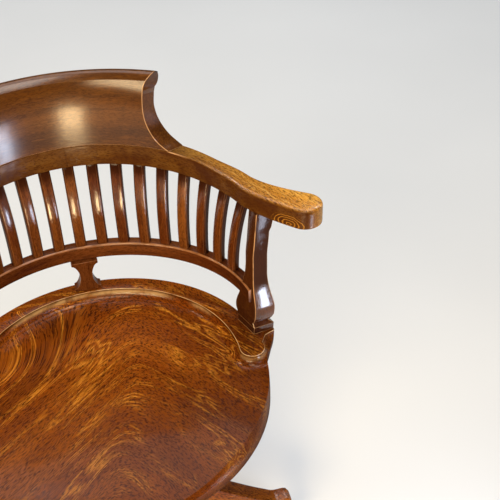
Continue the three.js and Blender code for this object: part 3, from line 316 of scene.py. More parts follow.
class Form:
    """A mesh under construction, with grain places, edge wear with painted highlight, and painted
    shade with darker tone on its points.
    """

    def __init__(self, source: bpy.types.Mesh | None = None) -> None:
        """Start empty, or from a copy of a mesh.

        Args:
            source: Mesh to copy, or nothing.
        """
        self.bm = bmesh.new()
        if source is not None:
            self.bm.from_mesh(source)
        layers = self.bm.verts.layers
        self.grain = layers.float_vector.get("grain") or layers.float_vector.new("grain")
        # Rubbed arrises, and in the seat's cove a painted highlight.
        self.wear_and_highlight = layers.float.get("wear_and_highlight") or layers.float.new("wear_and_highlight")
        # Painted shade, and on the arms a darker tone towards the crest.
        self.shade = layers.float.get("shade") or layers.float.new("shade")
        self.order = layers.int.get("order") or layers.int.new("order")

    @classmethod
    def swept(cls, rings: Sequence[Sequence[Vector]],
              grains: Sequence[Sequence[Vector]] | None = None, cap: Cap = Cap.FLAT) -> "Form":
        """Pull one closed loop through rings of equal count.

        Args:
            rings: The loop's places at each station.
            grains: Grain places to match, or nothing to use the places themselves.
            cap: How the two ends are closed.

        Returns:
            The new form, tidied.
        """
        form = cls()
        grains = grains or rings
        made = bmesh.ops.create_circle(form.bm, cap_ends=False, segments=len(rings[0]), radius=1.0)
        loop = list(made["verts"])
        for i, vert in enumerate(loop):
            vert[form.order] = i
        edges = list(dict.fromkeys(edge for vert in loop for edge in vert.link_edges))
        form._seat_loop(loop, rings[0], grains[0])
        first = (loop, edges)
        for ring, grain in zip(rings[1:], grains[1:]):
            out = bmesh.ops.extrude_edge_only(form.bm, edges=edges)
            loop = [part for part in out["geom"] if isinstance(part, bmesh.types.BMVert)]
            members = set(loop)
            edges = [
                part for part in out["geom"]
                if isinstance(part, bmesh.types.BMEdge) and members.issuperset(part.verts)
            ]
            form._seat_loop(loop, ring, grain)
        for end_loop, end_edges in (first, (loop, edges)):
            if cap is Cap.FLAT:
                bmesh.ops.edgeloop_fill(form.bm, edges=end_edges)
            else:
                form._zip(end_loop)
        form.tidy()
        return form

    def _seat_loop(self, loop: Iterable[bmesh.types.BMVert], ring: Sequence[Vector],
                   grain: Sequence[Vector]) -> None:
        """Put a loop's points at their places, by their order round the loop."""
        for vert in loop:
            vert.co = ring[vert[self.order]]
            vert[self.grain] = grain[vert[self.order]]

    def _zip(self, loop: Iterable[bmesh.types.BMVert]) -> None:
        """Close a long loop with faces between its two sides."""
        ordered = sorted(loop, key=lambda vert: vert[self.order])
        last = len(ordered) - 1
        for i in range(len(ordered) // 2 - 1):
            corners = (ordered[i], ordered[i + 1], ordered[last - i - 1], ordered[last - i])
            bmesh.ops.contextual_create(self.bm, geom=list(corners))

    @classmethod
    def turned(cls, profile: Sequence[Pair], steps: int) -> "Form":
        """Turn a half profile about the Z axis.

        Args:
            profile: Radius and height, in order.
            steps: Sides of the round.

        Returns:
            The new form, tidied.
        """
        form = cls()
        chain = [form.bm.verts.new((radius, 0.0, height)) for radius, height in profile]
        edges = [form.bm.edges.new(pair) for pair in zip(chain, chain[1:])]
        bmesh.ops.spin(
            form.bm, geom=chain + edges, cent=(0, 0, 0), axis=(0, 0, 1), dvec=(0, 0, 0),
            angle=math.tau, steps=steps, use_merge=True, use_duplicate=False,
        )
        form.tidy()
        return form

    def add(self, other: "Form", matrix: Matrix) -> None:
        """Take in a copy of another form, moved by a matrix."""
        mesh = bpy.data.meshes.new("part")
        other.bm.to_mesh(mesh)
        mesh.transform(matrix)
        self.bm.from_mesh(mesh)
        bpy.data.meshes.remove(mesh)

    def moved(self, matrix: Matrix) -> "Form":
        """Return a copy moved by a matrix."""
        other = Form()
        other.add(self, matrix)
        return other

    def on_side(self, sign: float) -> "Form":
        """Return the form for the right side, or its mirror image for the left."""
        if sign > 0:
            return self
        other = self.moved(Matrix.Scale(-1, 4, (1, 0, 0)))
        bmesh.ops.recalc_face_normals(other.bm, faces=other.bm.faces)
        return other

    def tidy(self, merge: float = SAME_PLACE) -> None:
        """Merge doubled points and turn all faces outwards."""
        bmesh.ops.remove_doubles(self.bm, verts=self.bm.verts, dist=merge)
        bmesh.ops.recalc_face_normals(self.bm, faces=self.bm.faces)
        self.line_up()

    def line_up(self) -> None:
        """Put points, edges and faces in an order by place, the same in each run."""
        self.bm.verts.sort(key=lambda vert: vert.co.dot(ORDER_AXIS))
        self.bm.edges.sort(key=lambda edge: (edge.verts[0].co + edge.verts[1].co).dot(ORDER_AXIS))
        self.bm.faces.sort(key=lambda face: face.calc_center_median().dot(ORDER_AXIS))
        for parts in (self.bm.verts, self.bm.edges, self.bm.faces):
            parts.index_update()

    def soften(self, width: float, angle: float, wear_and_highlight: float = 1.0) -> None:
        """Round the arrises and mark them as worn.

        Args:
            width: Width of the rounding.
            angle: Least fold that counts as an arris, in degrees.
            wear_and_highlight: How worn the middle of the rounding is.
        """
        least = math.radians(angle)
        edges = [
            edge for edge in self.bm.edges
            if len(edge.link_faces) == 2 and edge.calc_face_angle(0.0) > least
        ]
        out = bmesh.ops.bevel(
            self.bm, geom=edges, offset=width, offset_type="OFFSET", segments=2,
            profile=0.5, affect="EDGES", material=-1, clamp_overlap=True,
        )
        rounded = set(out["faces"])
        for vert in out["verts"]:
            if rounded.issuperset(vert.link_faces):
                vert[self.wear_and_highlight] = wear_and_highlight

    def paint_grain(self, rule: Callable[[Vector], Vector]) -> None:
        """Set every point's grain place from its own place."""
        for vert in self.bm.verts:
            vert[self.grain] = rule(vert.co)

    def to_object(self, name: str) -> bpy.types.Object:
        """Make a scene object of the form, with its place in its mesh."""
        self.line_up()
        mesh = bpy.data.meshes.new(name)
        self.bm.to_mesh(mesh)
        made = bpy.data.objects.new(name, mesh)
        bpy.context.scene.collection.objects.link(made)
        return made


def carve(base: Form, cutter: Form, added: Sequence[Form] = ()) -> Form:
    """Join forms to a form, then cut one from it.

    Args:
        base: The form to work on.
        cutter: The form to cut away.
        added: Forms that are joined first.

    Returns:
        The worked form.
    """
    target = base.to_object("carve_base")
    helpers = []
    for form in (*added, cutter):
        form.tidy()
        helper = form.to_object("carve_tool")
        helpers.append(helper)
        step = target.modifiers.new("cut", "BOOLEAN")
        step.operation = "DIFFERENCE" if form is cutter else "UNION"
        step.solver = "EXACT"
        step.use_self = True
        step.object = helper
    bpy.context.view_layer.update()
    graph = bpy.context.evaluated_depsgraph_get()
    mesh = bpy.data.meshes.new_from_object(target.evaluated_get(graph))
    worked = Form(mesh)
    for used in (target, *helpers):
        data = used.data
        bpy.data.objects.remove(used)
        bpy.data.meshes.remove(data)
    bpy.data.meshes.remove(mesh)
    return worked


class Graph:
    """Short hand for building a material's nodes."""

    def __init__(self, name: str) -> None:
        """Start a material with a shader.

        Args:
            name: Name of the material.
        """
        self.material = bpy.data.materials.new(name)
        self.material.use_nodes = True
        self.tree = self.material.node_tree
        self.shader = self.tree.nodes["Principled BSDF"]

    def _fill(self, socket: Socket, value: object) -> None:
        """Link a socket to another node's output, or give it a plain value."""
        if isinstance(value, Socket):
            self.tree.links.new(value, socket)
        else:
            socket.default_value = value

    def add(self, kind: str, inputs: dict[str | int, object], **settings: object) -> bpy.types.Node:
        """Add a node.

        Args:
            kind: Blender's name of the node's type.
            inputs: Sockets by name or place, each given a value or another node's output.
            settings: The node's own options.

        Returns:
            The node.
        """
        node = self.tree.nodes.new(kind)
        for key, value in settings.items():
            setattr(node, key, value)
        for key, value in inputs.items():
            self._fill(node.inputs[key], value)
        return node

    def feed(self, **inputs: object) -> None:
        """Set the shader's sockets, spaces in their names written as underscores."""
        for key, value in inputs.items():
            self._fill(self.shader.inputs[key.replace("_", " ")], value)

    def attribute(self, name: str, output: str = "Fac") -> Socket:
        """Read an attribute of the mesh."""
        return self.add("ShaderNodeAttribute", {}, attribute_name=name).outputs[output]

    def noise(self, place: Socket, scale: float | Triple, shift: Triple = (0.0, 0.0, 0.0),
              detail: float = 2.0, roughness: float = 0.5, distortion: float = 0.0) -> Socket:
        """Read a noise between zero and one.

        Args:
            place: Where to read it.
            scale: How close it lies, alike in all directions or one by one.
            shift: Moves the pattern.
            detail: Rounds of finer noise.
            roughness: Strength of the finer noise.
            distortion: How far it is dragged about.

        Returns:
            The noise.
        """
        scale = scale if isinstance(scale, tuple) else (scale, scale, scale)
        stretched = self.add("ShaderNodeMapping",
                             {"Vector": place, "Scale": scale, "Location": shift})
        inputs = {"Vector": stretched.outputs["Vector"], "Scale": 1.0, "Detail": detail,
                  "Roughness": roughness, "Distortion": distortion}
        return self.add("ShaderNodeTexNoise", inputs).outputs["Fac"]

    def calc(self, operation: str, first: object, *others: object) -> Socket:
        """Work out a sum of two or more values in turn, or a function of one."""
        if not others:
            return self.add("ShaderNodeMath", {0: first}, operation=operation).outputs[0]
        for other in others:
            inputs = {0: first, 1: other}
            first = self.add("ShaderNodeMath", inputs, operation=operation).outputs[0]
        return first

    def times(self, first: object, *others: object) -> Socket:
        """Multiply values."""
        return self.calc("MULTIPLY", first, *others)

    def vector(self, operation: str, first: object, other: object) -> Socket:
        """Work out a sum of two vectors."""
        inputs = {0: first, 1: other}
        return self.add("ShaderNodeVectorMath", inputs, operation=operation).outputs[0]

    def spread(self, value: Socket, low: float, high: float, to_low: float = 0.0,
               to_high: float = 1.0) -> Socket:
        """Spread a stretch of values over another, softly and without overshoot."""
        inputs = {"Value": value, "From Min": low, "From Max": high, "To Min": to_low,
                  "To Max": to_high}
        node = self.add("ShaderNodeMapRange", inputs, interpolation_type="SMOOTHSTEP")
        return node.outputs["Result"]

    def ramp(self, value: Socket, stops: Sequence[tuple[float, str]]) -> Socket:
        """Colour a value by places and their screen colours."""
        node = self.add("ShaderNodeValToRGB", {"Fac": value})
        elements = node.color_ramp.elements
        while len(elements) < len(stops):
            elements.new(0.5)
        for element, (place, code) in zip(elements, stops):
            element.position = place
            element.color = tone(code)
        return node.outputs["Color"]

    def blend(self, share: Socket, colour: Socket | Colour, code: str) -> Socket:
        """Blend a colour towards a screen colour."""
        # Sockets 6 and 7 are the two colours of the node, and output 2 is its colour.
        inputs = {0: share, 6: colour, 7: tone(code)}
        return self.add("ShaderNodeMix", inputs, data_type="RGBA").outputs[2]

    def bump(self, height: Socket, strength: float, distance: float) -> Socket:
        """Turn a height into a normal."""
        inputs = {"Height": height, "Strength": strength, "Distance": distance}
        return self.add("ShaderNodeBump", inputs).outputs["Normal"]


@dataclass(frozen=True)
class Finish:
    """What all finishes share: a name, a slot of the record and a material."""

    name: str
    slot: Slot

    def material(self) -> bpy.types.Material:
        """Return the finish as a material, made once and reused by its name."""
        made = bpy.data.materials.get(self.name)
        if made is None:
            g = Graph(self.name)
            self.paint(g)
            made = g.material
        return made

    def paint(self, g: Graph) -> None:
        """Build the finish's nodes in a new material's graph."""
        raise NotImplementedError


@dataclass(frozen=True)
class WoodFinish(Finish):
    """Polished oak: its colours, figure and gloss."""

    deep: str
    body: str
    bright: str
    ray: str
    ray_share: float = 0.6
    ray_scale: Triple = (3.6, 42.0, 42.0)
    ray_width: float = 0.016
    pore_share: float = 0.8
    pore_depth: float = 1.0
    streak_share: float = 0.55
    glint_share: float = 0.4
    waves: float = 0.7
    # The colour that painted shade, and the arms' darker tone, blend towards.
    shade_and_tone: str = "2a1207"
    edge: str = "c79a6a"
    pore: str = "220d04"
    coat: float = 0.45
    coat_roughness: float = 0.1
    ring_place: Triple | None = None

    def paint(self, g: Graph) -> None:
        """Build the wood from its board out to its polish."""
        place = g.attribute("grain", "Vector")
        sway = g.add("ShaderNodeTexNoise", {"Vector": place, "Scale": 8.0, "Detail": 2.0})
        centred = g.vector("SUBTRACT", sway.outputs["Color"], (0.5, 0.5, 0.5))
        grain = g.vector("ADD", place, g.vector("MULTIPLY", centred, (0.02, 0.014, 0.014)))

        # Board, streaks, rays, glints and pores.
        board = g.noise(grain, (2.2, 13.0, 13.0), detail=3.0)
        colour = g.ramp(board, ((0.36, self.deep), (0.5, self.body), (0.66, self.bright)))
        lines = g.noise(grain, (7.0, 210.0, 150.0), detail=4.0, roughness=0.62)
        streaks = g.times(g.spread(lines, 0.47, 0.66), self.streak_share)
        colour = g.blend(streaks, colour, self.deep)
        ray = self._rays(g, grain)
        colour = g.blend(g.times(ray, self.ray_share), colour, self.ray)
        glints = g.noise(grain, (45.0, 300.0, 300.0), (5.0, 5.0, 5.0))
        colour = g.blend(g.spread(glints, 0.5, 0.72, 0.0, self.glint_share), colour, self.bright)
        specks = g.noise(grain, (170.0, 700.0, 560.0), roughness=0.65)
        pores = g.spread(specks, 0.47, 0.62)
        colour = g.blend(g.times(pores, self.pore_share), colour, self.pore)

        # Painted shade with darker tone, growth rings, rubbed arrises and the seat cove's painted
        # highlight.
        shade_and_tone = g.attribute("shade")
        cloudy = g.spread(g.noise(place, 30.0, detail=4.0), 0.3, 0.7, 0.9, 1.0)
        colour = g.blend(g.times(shade_and_tone, cloudy), colour, self.shade_and_tone)
        if self.ring_place is not None:
            colour = g.blend(self._end_rings(g, place), colour, self.body)
        patchy = g.spread(g.noise(place, 40.0, detail=3.0), 0.3, 0.55, 0.35, 1.0)
        edge = g.times(g.attribute("wear_and_highlight"), patchy)
        colour = g.blend(g.times(edge, 0.85), colour, self.edge)

        # Relief, and a gloss that is dull under the painted shade and bright on rubbed arrises and
        # the cove's painted highlight.
        height = g.calc("SUBTRACT", g.times(ray, 0.2), g.times(pores, self.pore_depth))
        height = g.calc("ADD", height, g.times(g.noise(place, 14.0), self.waves))
        skin = g.bump(height, 0.16, 0.0005)
        polish = g.spread(shade_and_tone, 0.3, 1.0, self.coat, self.coat * 0.2)
        gloss = g.calc("ADD", polish, g.times(edge, 0.8))
        g.feed(
            Base_Color=colour, Roughness=0.5, Normal=skin, Specular_IOR_Level=0.0,
            Coat_Weight=g.calc("MINIMUM", gloss, 1.0), Coat_Normal=skin,
            Coat_Roughness=self.coat_roughness,
        )

    def _rays(self, g: Graph, grain: Socket) -> Socket:
        """Draw the flame of the rays as broken ribbons along three levels of a noise.

        Args:
            g: The material's graph.
            grain: Grain places with their sway.

        Returns:
            How much ray lies at each place.
        """
        flake = g.noise(grain, self.ray_scale, (3.1, 1.7, 0.4), detail=1.0, roughness=0.35,
                        distortion=0.25)
        ribbons = []
        for level in (0.44, 0.5, 0.56):
            off_line = g.calc("ABSOLUTE", g.calc("SUBTRACT", flake, level))
            ribbons.append(g.spread(off_line, self.ray_width, 0.002))
        patch = g.spread(g.noise(grain, (9.0, 22.0, 22.0), (8.0, 2.0, 5.0)), 0.4, 0.6)
        broken = g.noise(grain, (50.0, 330.0, 330.0), (1.0, 7.0, 5.0))
        return g.times(g.calc("MAXIMUM", *ribbons), patch, g.spread(broken, 0.3, 0.6, 0.3, 1.0))

    def _end_rings(self, g: Graph, place: Socket) -> Socket:
        """Draw growth rings round the place where the grain runs out.

        Args:
            g: The material's graph.
            place: Grain places.

        Returns:
            How much ring lies at each place.
        """
        offset = g.vector("SUBTRACT", place, self.ring_place)
        flat = g.vector("MULTIPLY", offset, (0.55, 0.4, 0.9))
        reach = g.add("ShaderNodeVectorMath", {0: flat}, operation="LENGTH").outputs["Value"]
        sway = g.times(g.noise(place, 90.0), 0.004)
        wave = g.calc("SINE", g.times(g.calc("ADD", reach, sway), 1900.0))
        near = g.spread(reach, 0.0155, 0.0125)
        return g.times(near, g.spread(wave, 0.3, 1.0), 0.45)


@dataclass(frozen=True)
class MetalFinish(Finish):
    """Bare, plated or painted metal with age on it."""

    colour: str
    worn_colour: str
    grime: str
    metal: float = 1.0
    worn_metal: float = 1.0
    roughness: float = 0.4
    blotch: float = 0.3

    def paint(self, g: Graph) -> None:
        """Build the metal with its stains, its cast skin and its rubbed arrises."""
        place = g.add("ShaderNodeTexCoord", {}).outputs["Object"]
        cloud = g.noise(place, 28.0, detail=5.0, roughness=0.6)
        skin = g.noise(place, 480.0, detail=4.0)
        stains = g.spread(cloud, 0.5, 0.7, 0.0, self.blotch)
        colour = g.blend(stains, tone(self.colour), self.grime)
        chips = g.spread(g.noise(place, 90.0, detail=4.0), 0.42, 0.6)
        worn = g.times(g.attribute("wear_and_highlight"), g.spread(chips, 0.0, 1.0, 0.35, 1.0))
        rough = g.calc("ADD", g.times(skin, 0.25), self.roughness - 0.1)
        painted = self.metal != self.worn_metal
        metal = g.spread(worn, 0.0, 1.0, self.metal, self.worn_metal) if painted else self.metal
        g.feed(Base_Color=g.blend(worn, colour, self.worn_colour), Roughness=rough,
               Metallic=metal, Normal=g.bump(skin, 0.15, 0.0004))


# The seat's edge colour serves both its rubbed arrises and the painted highlight in its cove.
SEAT_OAK = WoodFinish("seat_oak", Slot.OAK, "6a330a", "7e3d0c", "985212", "d48a2a",
                      ray_share=0.8, ray_width=0.024, coat=0.35, waves=1.0, edge="d6b27c")
ARM_OAK = WoodFinish("arm_oak", Slot.OAK, "98601a", "c28834", "deac52", "eabe6c",
                     ray_share=0.4, ray_scale=(5.0, 90.0, 90.0), ray_width=0.012,
                     pore_share=0.7, shade_and_tone="3a1c0a", coat=0.7, coat_roughness=0.14,
                     ring_place=(0.4, 0.005, 0.23))
CREST_OAK = WoodFinish("crest_oak", Slot.OAK, "3e2208", "54300c", "6a4014", "765220",
                       ray_share=0.2, pore_share=0.4, streak_share=0.5, coat=0.85,
                       coat_roughness=0.19, waves=0.3, pore_depth=0.2)
DARK_OAK = WoodFinish("dark_oak_finish", Slot.DARK_OAK, "34160a", "50260f", "683a1a", "824622",
                      ray_share=0.2, pore_share=0.5, edge="a8744a")
SLAT_OAK = WoodFinish("slat_oak", Slot.DARK_OAK, "3c1a0a", "562a10", "74441c", "8a4c24",
                      ray_share=0.2, pore_share=0.5, edge="a8744a", coat=1.0, pore_depth=0.5)
POST_OAK = WoodFinish("post_oak", Slot.DARK_OAK, "24100a", "3c1d0e", "502c16", "5e3820",
                      ray_share=0.2, pore_share=0.5, coat=1.0, coat_roughness=0.07,
                      pore_depth=0.3)
LEG_OAK = WoodFinish("leg_oak", Slot.OAK, "4e2208", "743a0e", "96561a", "a8682a",
                     ray_share=0.4)
TURNED_WOOD = WoodFinish("castor_wheel_wood", Slot.CASTOR_WOOD, "1c0c06", "381a0c", "54301a",
                         "5c3820", ray_share=0.1, pore_share=0.3, coat=0.2,
                         coat_roughness=0.3)
BLACK_IRON = MetalFinish("old_black_iron", Slot.IRON, "141312", "5a564f", "2e2218",
                         metal=0.35, worn_metal=0.9, roughness=0.45, blotch=0.5)
BARE_STEEL = MetalFinish("oiled_steel", Slot.STEEL, "8a867e", "b4b0a8", "4a3c30",
                         roughness=0.3, blotch=0.45)
AGED_BRASS = MetalFinish("aged_brass", Slot.BRASS, "98752e", "d2b066", "4c3818",
                         roughness=0.3, blotch=0.5)


def dress(form: Form, name: str, body: str, finish: Finish, node: str | None,
          sharp: float) -> bpy.types.Object:
    """Put a finished form in the scene.

    Args:
        form: The form, in its place.
        name: Name of the piece.
        body: Body that it rides on.
        finish: Its finish.
        node: The node that it stands for, or nothing for an extra.
        sharp: Least fold that stays sharp, in degrees.

    Returns:
        The scene object.
    """
    made = form.to_object(name)
    made.data.shade_smooth()
    made.data.set_sharp_from_angle(angle=math.radians(sharp))
    made.data.materials.append(finish.material())
    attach(made, body)
    if node is not None:
        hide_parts(node)
    LOG.info("%s: %d faces on %s", name, len(made.data.polygons), body)
    return made


@dataclass(frozen=True)
class PostAxes:
    """The arm post's skewed axes, across its front and back along its inner side."""

    corner: Vector = field(default_factory=lambda: Vector((0.234, 0.026)))
    face_turn: float = math.radians(9)
    side_turn: float = math.radians(20)
    width: float = 0.034
    depth: float = 0.044

    def place(self, across: float, back: float) -> Vector:
        """Return the flat place of a point given along the post's own axes."""
        behind = Vector((-math.sin(self.side_turn), math.cos(self.side_turn)))
        return self.corner + heading(self.face_turn) * across + behind * back

    def at_shares(self, across: float, back: float) -> Vector:
        """Return the same for shares of the post's width and depth."""
        return self.place(across * self.width, back * self.depth)


POST_AXES = PostAxes()


@dataclass
class CarvedSeat:
    """The thick seat with its dish, lobes and ears."""

    thickness: float = 0.056
    half_width: float = 0.243
    back_depth: float = 0.228
    front_depth: float = 0.237
    top_front_depth: float = 0.208
    nose_drop: float = 0.034
    edge_round: float = 0.0016
    dish: Bow = Bow(0.205, 0.194, 0.007)
    cove: float = 0.015
    saddle_dip: float = 0.006
    front_roll_start: float = 0.120
    front_roll_drop: float = 0.016
    lobe_radius: float = 0.0195
    lobe_inset: float = 0.0186
    lobe_reach: float = 0.0246
    arris: float = 0.0009
    cutter_rise: float = 0.012
    cutter_reach: float = 1.16
    fold_place: Vector = field(default_factory=lambda: Vector((0.042, 0.02)))
    fold_turn: float = math.radians(-15)
    fold_round: float = 0.018
    steps: int = 220
    dish_steps: int = 56
    lobe_steps: int = 26
    front_steps: int = 30
    cove_steps: int = 12
    # Underside's rounding: drop as a share of the thickness, and inset.
    under_round: tuple[Pair, ...] = ((1.0, 0.008), (0.985, 0.0052), (0.94, 0.0018), (0.86, 0.0))
    # How far forward the nose stands, by share of its drop.
    nose: Profile = Profile(((0, 0), (0.05, 0.05), (0.47, 0.45), (0.75, 0.8), (1, 1)))
    # How far the ear is cut back in widths of the post, by share of the seat's thickness.
    undercut: Profile = Profile((
        (0, 0), (0.03, 0), (0.32, 0.02), (0.6, 0.1), (0.8, 0.27), (1, 0.56)))
    undercut_span: Pair = (-0.62, 1.05)
    ear_drops: tuple[float, ...] = (
        1.0, 0.92, 0.84, 0.76, 0.68, 0.6, 0.5, 0.4, 0.3, 0.2, 0.1, 0.03)
    floor_shares: tuple[float, ...] = (
        0.95, 0.88, 0.8, 0.7, 0.6, 0.5, 0.4, 0.3, 0.2, 0.1, 0.03)
    # Shares of the post's width and depth.
    ear_corners: tuple[Pair, ...] = (
        (-2.2, -1.2), (-0.62, -1.5), (-0.36, -1.21), (-0.08, -0.9), (0.3, -0.62), (0.7, -0.28),
        (0.97, -0.08), (1.06, 0.06), (1.06, 1.06), (0.97, 1.21), (0.8, 1.34), (-2.2, 1.1))
    dish_mouth: tuple[Pair, ...] = (
        (0.42, -0.18), (0.58, -0.15), (0.74, -0.12), (1.3, -0.08), (1.7, -0.08))

    def lobe(self) -> Vector:
        """Return the flat middle of the right lobe."""
        return POST_AXES.place(-self.lobe_inset, -self.lobe_reach)

    def outline(self, front_depth: float) -> list[Vector]:
        """Return the seat's outline for one depth of front."""
        points = []
        for angle in evenly(self.steps, math.tau)[:-1]:
            depth = self.back_depth if math.cos(angle) > 0 else front_depth
            points.append(Bow(self.half_width, depth, 0.0).place(angle)[0])
        return points

    def blank(self) -> Form:
        """Build the seat before the dish is carved."""
        # Each station is a drop as a share of the thickness, an inset and a share of the nose.
        stations = [(drop, inset, 1.0) for drop, inset in self.under_round]
        for drop in evenly(10)[:0:-1]:
            stations.append((drop * self.nose_drop / self.thickness, 0.0, self.nose.at(drop)))
        for inset, drop in rounding(self.edge_round, (0, 30, 60, 90)):
            stations.append((drop / self.thickness, inset, 0.0))
        rings = []
        for drop, inset, forward in stations:
            outline = self.outline(mix(self.top_front_depth, self.front_depth, forward))
            rings.append(raised(inset_outline(outline, inset),
                                RIM_HEIGHT - self.thickness * drop))
        return Form.swept(rings)

    def ear(self) -> Form:
        """Build the ear under the right arm post."""
        outline = cut_corners([POST_AXES.at_shares(*share) for share in self.ear_corners], 3)
        inner, outer = (POST_AXES.at_shares(share, 0.0).x for share in self.undercut_span)
        rings = []
        for drop in self.ear_drops:
            cut = self.undercut.at(drop) * POST_AXES.width
            ring = []
            for point in outline:
                outness = min(max((point.x - inner) / (outer - inner), 0.0), 1.0)
                ring.append(Vector((point.x - cut * outness, point.y)))
            rings.append(raised(ring, RIM_HEIGHT - self.thickness * drop))
        for inset, drop in rounding(self.edge_round, (30, 60, 90)):
            rings.append(raised(inset_outline(outline, inset), RIM_HEIGHT - drop))
        return Form.swept(rings)

    def dish_outline(self) -> list[Vector]:
        """Return the line where the dish meets the rim, closed beyond the front."""
        quarter = math.pi / 2
        right = [self.dish.place(angle)[0] for angle in evenly(self.dish_steps, quarter)[:-1]]
        lobe = self.lobe()
        for turn in evenly(self.lobe_steps, math.pi + POST_AXES.side_turn):
            right.append(lobe + heading(math.pi + turn) * self.lobe_radius)
        right += [POST_AXES.at_shares(*share) for share in self.dish_mouth]
        beyond = Bow(self.half_width * self.cutter_reach, self.front_depth * self.cutter_reach, 0.0)
        for turn in evenly(self.front_steps, quarter)[1:]:
            right.append(beyond.place(quarter + turn)[0])
        left = [Vector((-point.x, point.y)) for point in right[1:-1]]
        return right + left[::-1]

    def floor(self, x: float, y: float) -> float:
        """Return the dished floor's height over the rim, which is negative."""
        side, back = x / self.half_width, y / self.back_depth
        hollow = max(1 - side * side - back * back, 0.0)
        roll = max((-y - self.front_roll_start) / (self.front_depth - self.front_roll_start), 0.0)
        return -self.cove - self.saddle_dip * hollow - self.front_roll_drop * roll * roll

    def dish_tool(self) -> Form:
        """Build the body that carves the dish, with a rounded arris at the rim."""
        outline = self.dish_outline()
        rings = [raised(inset_outline(outline, -self.arris), RIM_HEIGHT + self.cutter_rise)]
        for drop, out in rounding(self.arris, (0, 30, 60)):
            rings.append(raised(inset_outline(outline, -out), RIM_HEIGHT - drop))
        for turn in evenly(self.cove_steps, math.pi / 2):
            inset = inset_outline(outline, self.cove * (1 - math.cos(turn)))
            drops = [mix(-self.arris, self.floor(p.x, p.y), math.sin(turn)) for p in inset]
            rings.append([Vector((p.x, p.y, RIM_HEIGHT + d)) for p, d in zip(inset, drops)])
        edge = rings[-1]
        # Headings in rising order keep the inner rings free of folds.
        turns = [math.atan2(p.x, p.y) for p in edge]
        turns = sorted(t + math.tau if i > 0 and t <= 0 else t for i, t in enumerate(turns))
        for share in self.floor_shares:
            radius = self.dish.half_width * share ** (1 / 3)
            keep = share ** 4
            ring = []
            for p, turn in zip(edge, turns):
                x = mix(math.sin(turn) * radius, p.x, keep) * share
                y = mix(math.cos(turn) * radius, p.y, keep) * share
                ring.append(Vector((x, y, RIM_HEIGHT + self.floor(x, y))))
            rings.append(ring)
        return Form.swept(rings)

    def grain_at(self, place: Vector) -> Vector:
        """Return the grain place: the figure climbs from the left, folds over and falls away."""
        offset = Vector((place.x - self.fold_place.x, place.y - self.fold_place.y))
        along = heading(self.fold_turn)
        u, v = offset.dot(along), offset.dot(Vector((-along.y, along.x)))
        back = fade(v, -0.02, 0.24)
        bend = math.hypot(u, self.fold_round) - self.fold_round
        level = v + mix(1.2, 0.35, back) * bend + mix(-0.3, 0.55, back) * u
        return Vector((u * 1.35, level * 0.68, place.z))

    def painted_shade(self, place: Vector, normal: Vector) -> float:
        """Return the painted shade: darker on the sides, towards the front and beside the posts."""
        foot = POST_AXES.at_shares(0.5, 0.5)
        from_foot = (Vector((abs(place.x), place.y)) - foot).length
        beside = 0.72 * fade(from_foot, 0.062, 0.026)
        side = 0.88 * fade(normal.z, 0.45, -0.05)
        front = 0.56 * fade(place.y - 0.3 * place.x, 0.12, -0.18)
        return max(beside, side, front)

    def cove_painted_highlight(self, place: Vector, drop: float) -> float:
        """Return the cove's painted highlight: at the back, its shoulders, under the lobes."""
        turn = abs(math.degrees(math.atan2(place.x, place.y)))
        back = fade(turn, 44, 30)
        shoulder = 0.9 * fade(abs(turn - 56), 9, 0)
        from_lobe = (Vector((abs(place.x), place.y)) - self.lobe()).length
        under_lobe = 0.8 * fade(abs(from_lobe - 0.027), 0.012, 0) * fade(place.y, 0, -0.01)
        half_band = 0.0055
        return 0.8 * max(back, shoulder, under_lobe) * fade(abs(drop - half_band), half_band, 0)

    def build(self) -> None:
        """Carve the seat and dress it."""
        ears = [self.ear().on_side(sign) for sign in SIDES.values()]
        worked = carve(self.blank(), self.dish_tool(), ears)
        worked.tidy(2 * SAME_PLACE)
        outline = self.dish_outline()
        for vert in worked.bm.verts:
            vert[worked.wear_and_highlight] = 0.0
            drop = RIM_HEIGHT - vert.co.z
            on_arris = 0.00005 < drop < 0.0008
            in_cove = 0.001 < drop < 0.011 and vert.normal.z < 0.92
            if on_arris:
                # The dish's arris is rubbed right through, the outer one hardly.
                flat = Vector((vert.co.x, vert.co.y))
                from_dish = min((flat - point).length for point in outline)
                vert[worked.wear_and_highlight] = 1.0 if from_dish < 0.008 else 0.35
            elif in_cove:
                # A painted highlight in the cove, in the seat's cream edge colour.
                vert[worked.wear_and_highlight] = self.cove_painted_highlight(vert.co, drop)
            vert[worked.shade] = self.painted_shade(vert.co, vert.normal)
        worked.paint_grain(self.grain_at)
        dress(worked, "seat_board", "seat_assembly", SEAT_OAK, "seat", 18.0)


@dataclass(frozen=True)
class PostCurve:
    """A measure of the post by share of its height: straight in the foot, smooth above it."""

    foot: Profile
    shaft: Profile
    foot_top: float = 0.105

    def at(self, share: float) -> float:
        """Read the measure at a share of the post's height."""
        return (self.foot if share < self.foot_top else self.shaft).at(share)


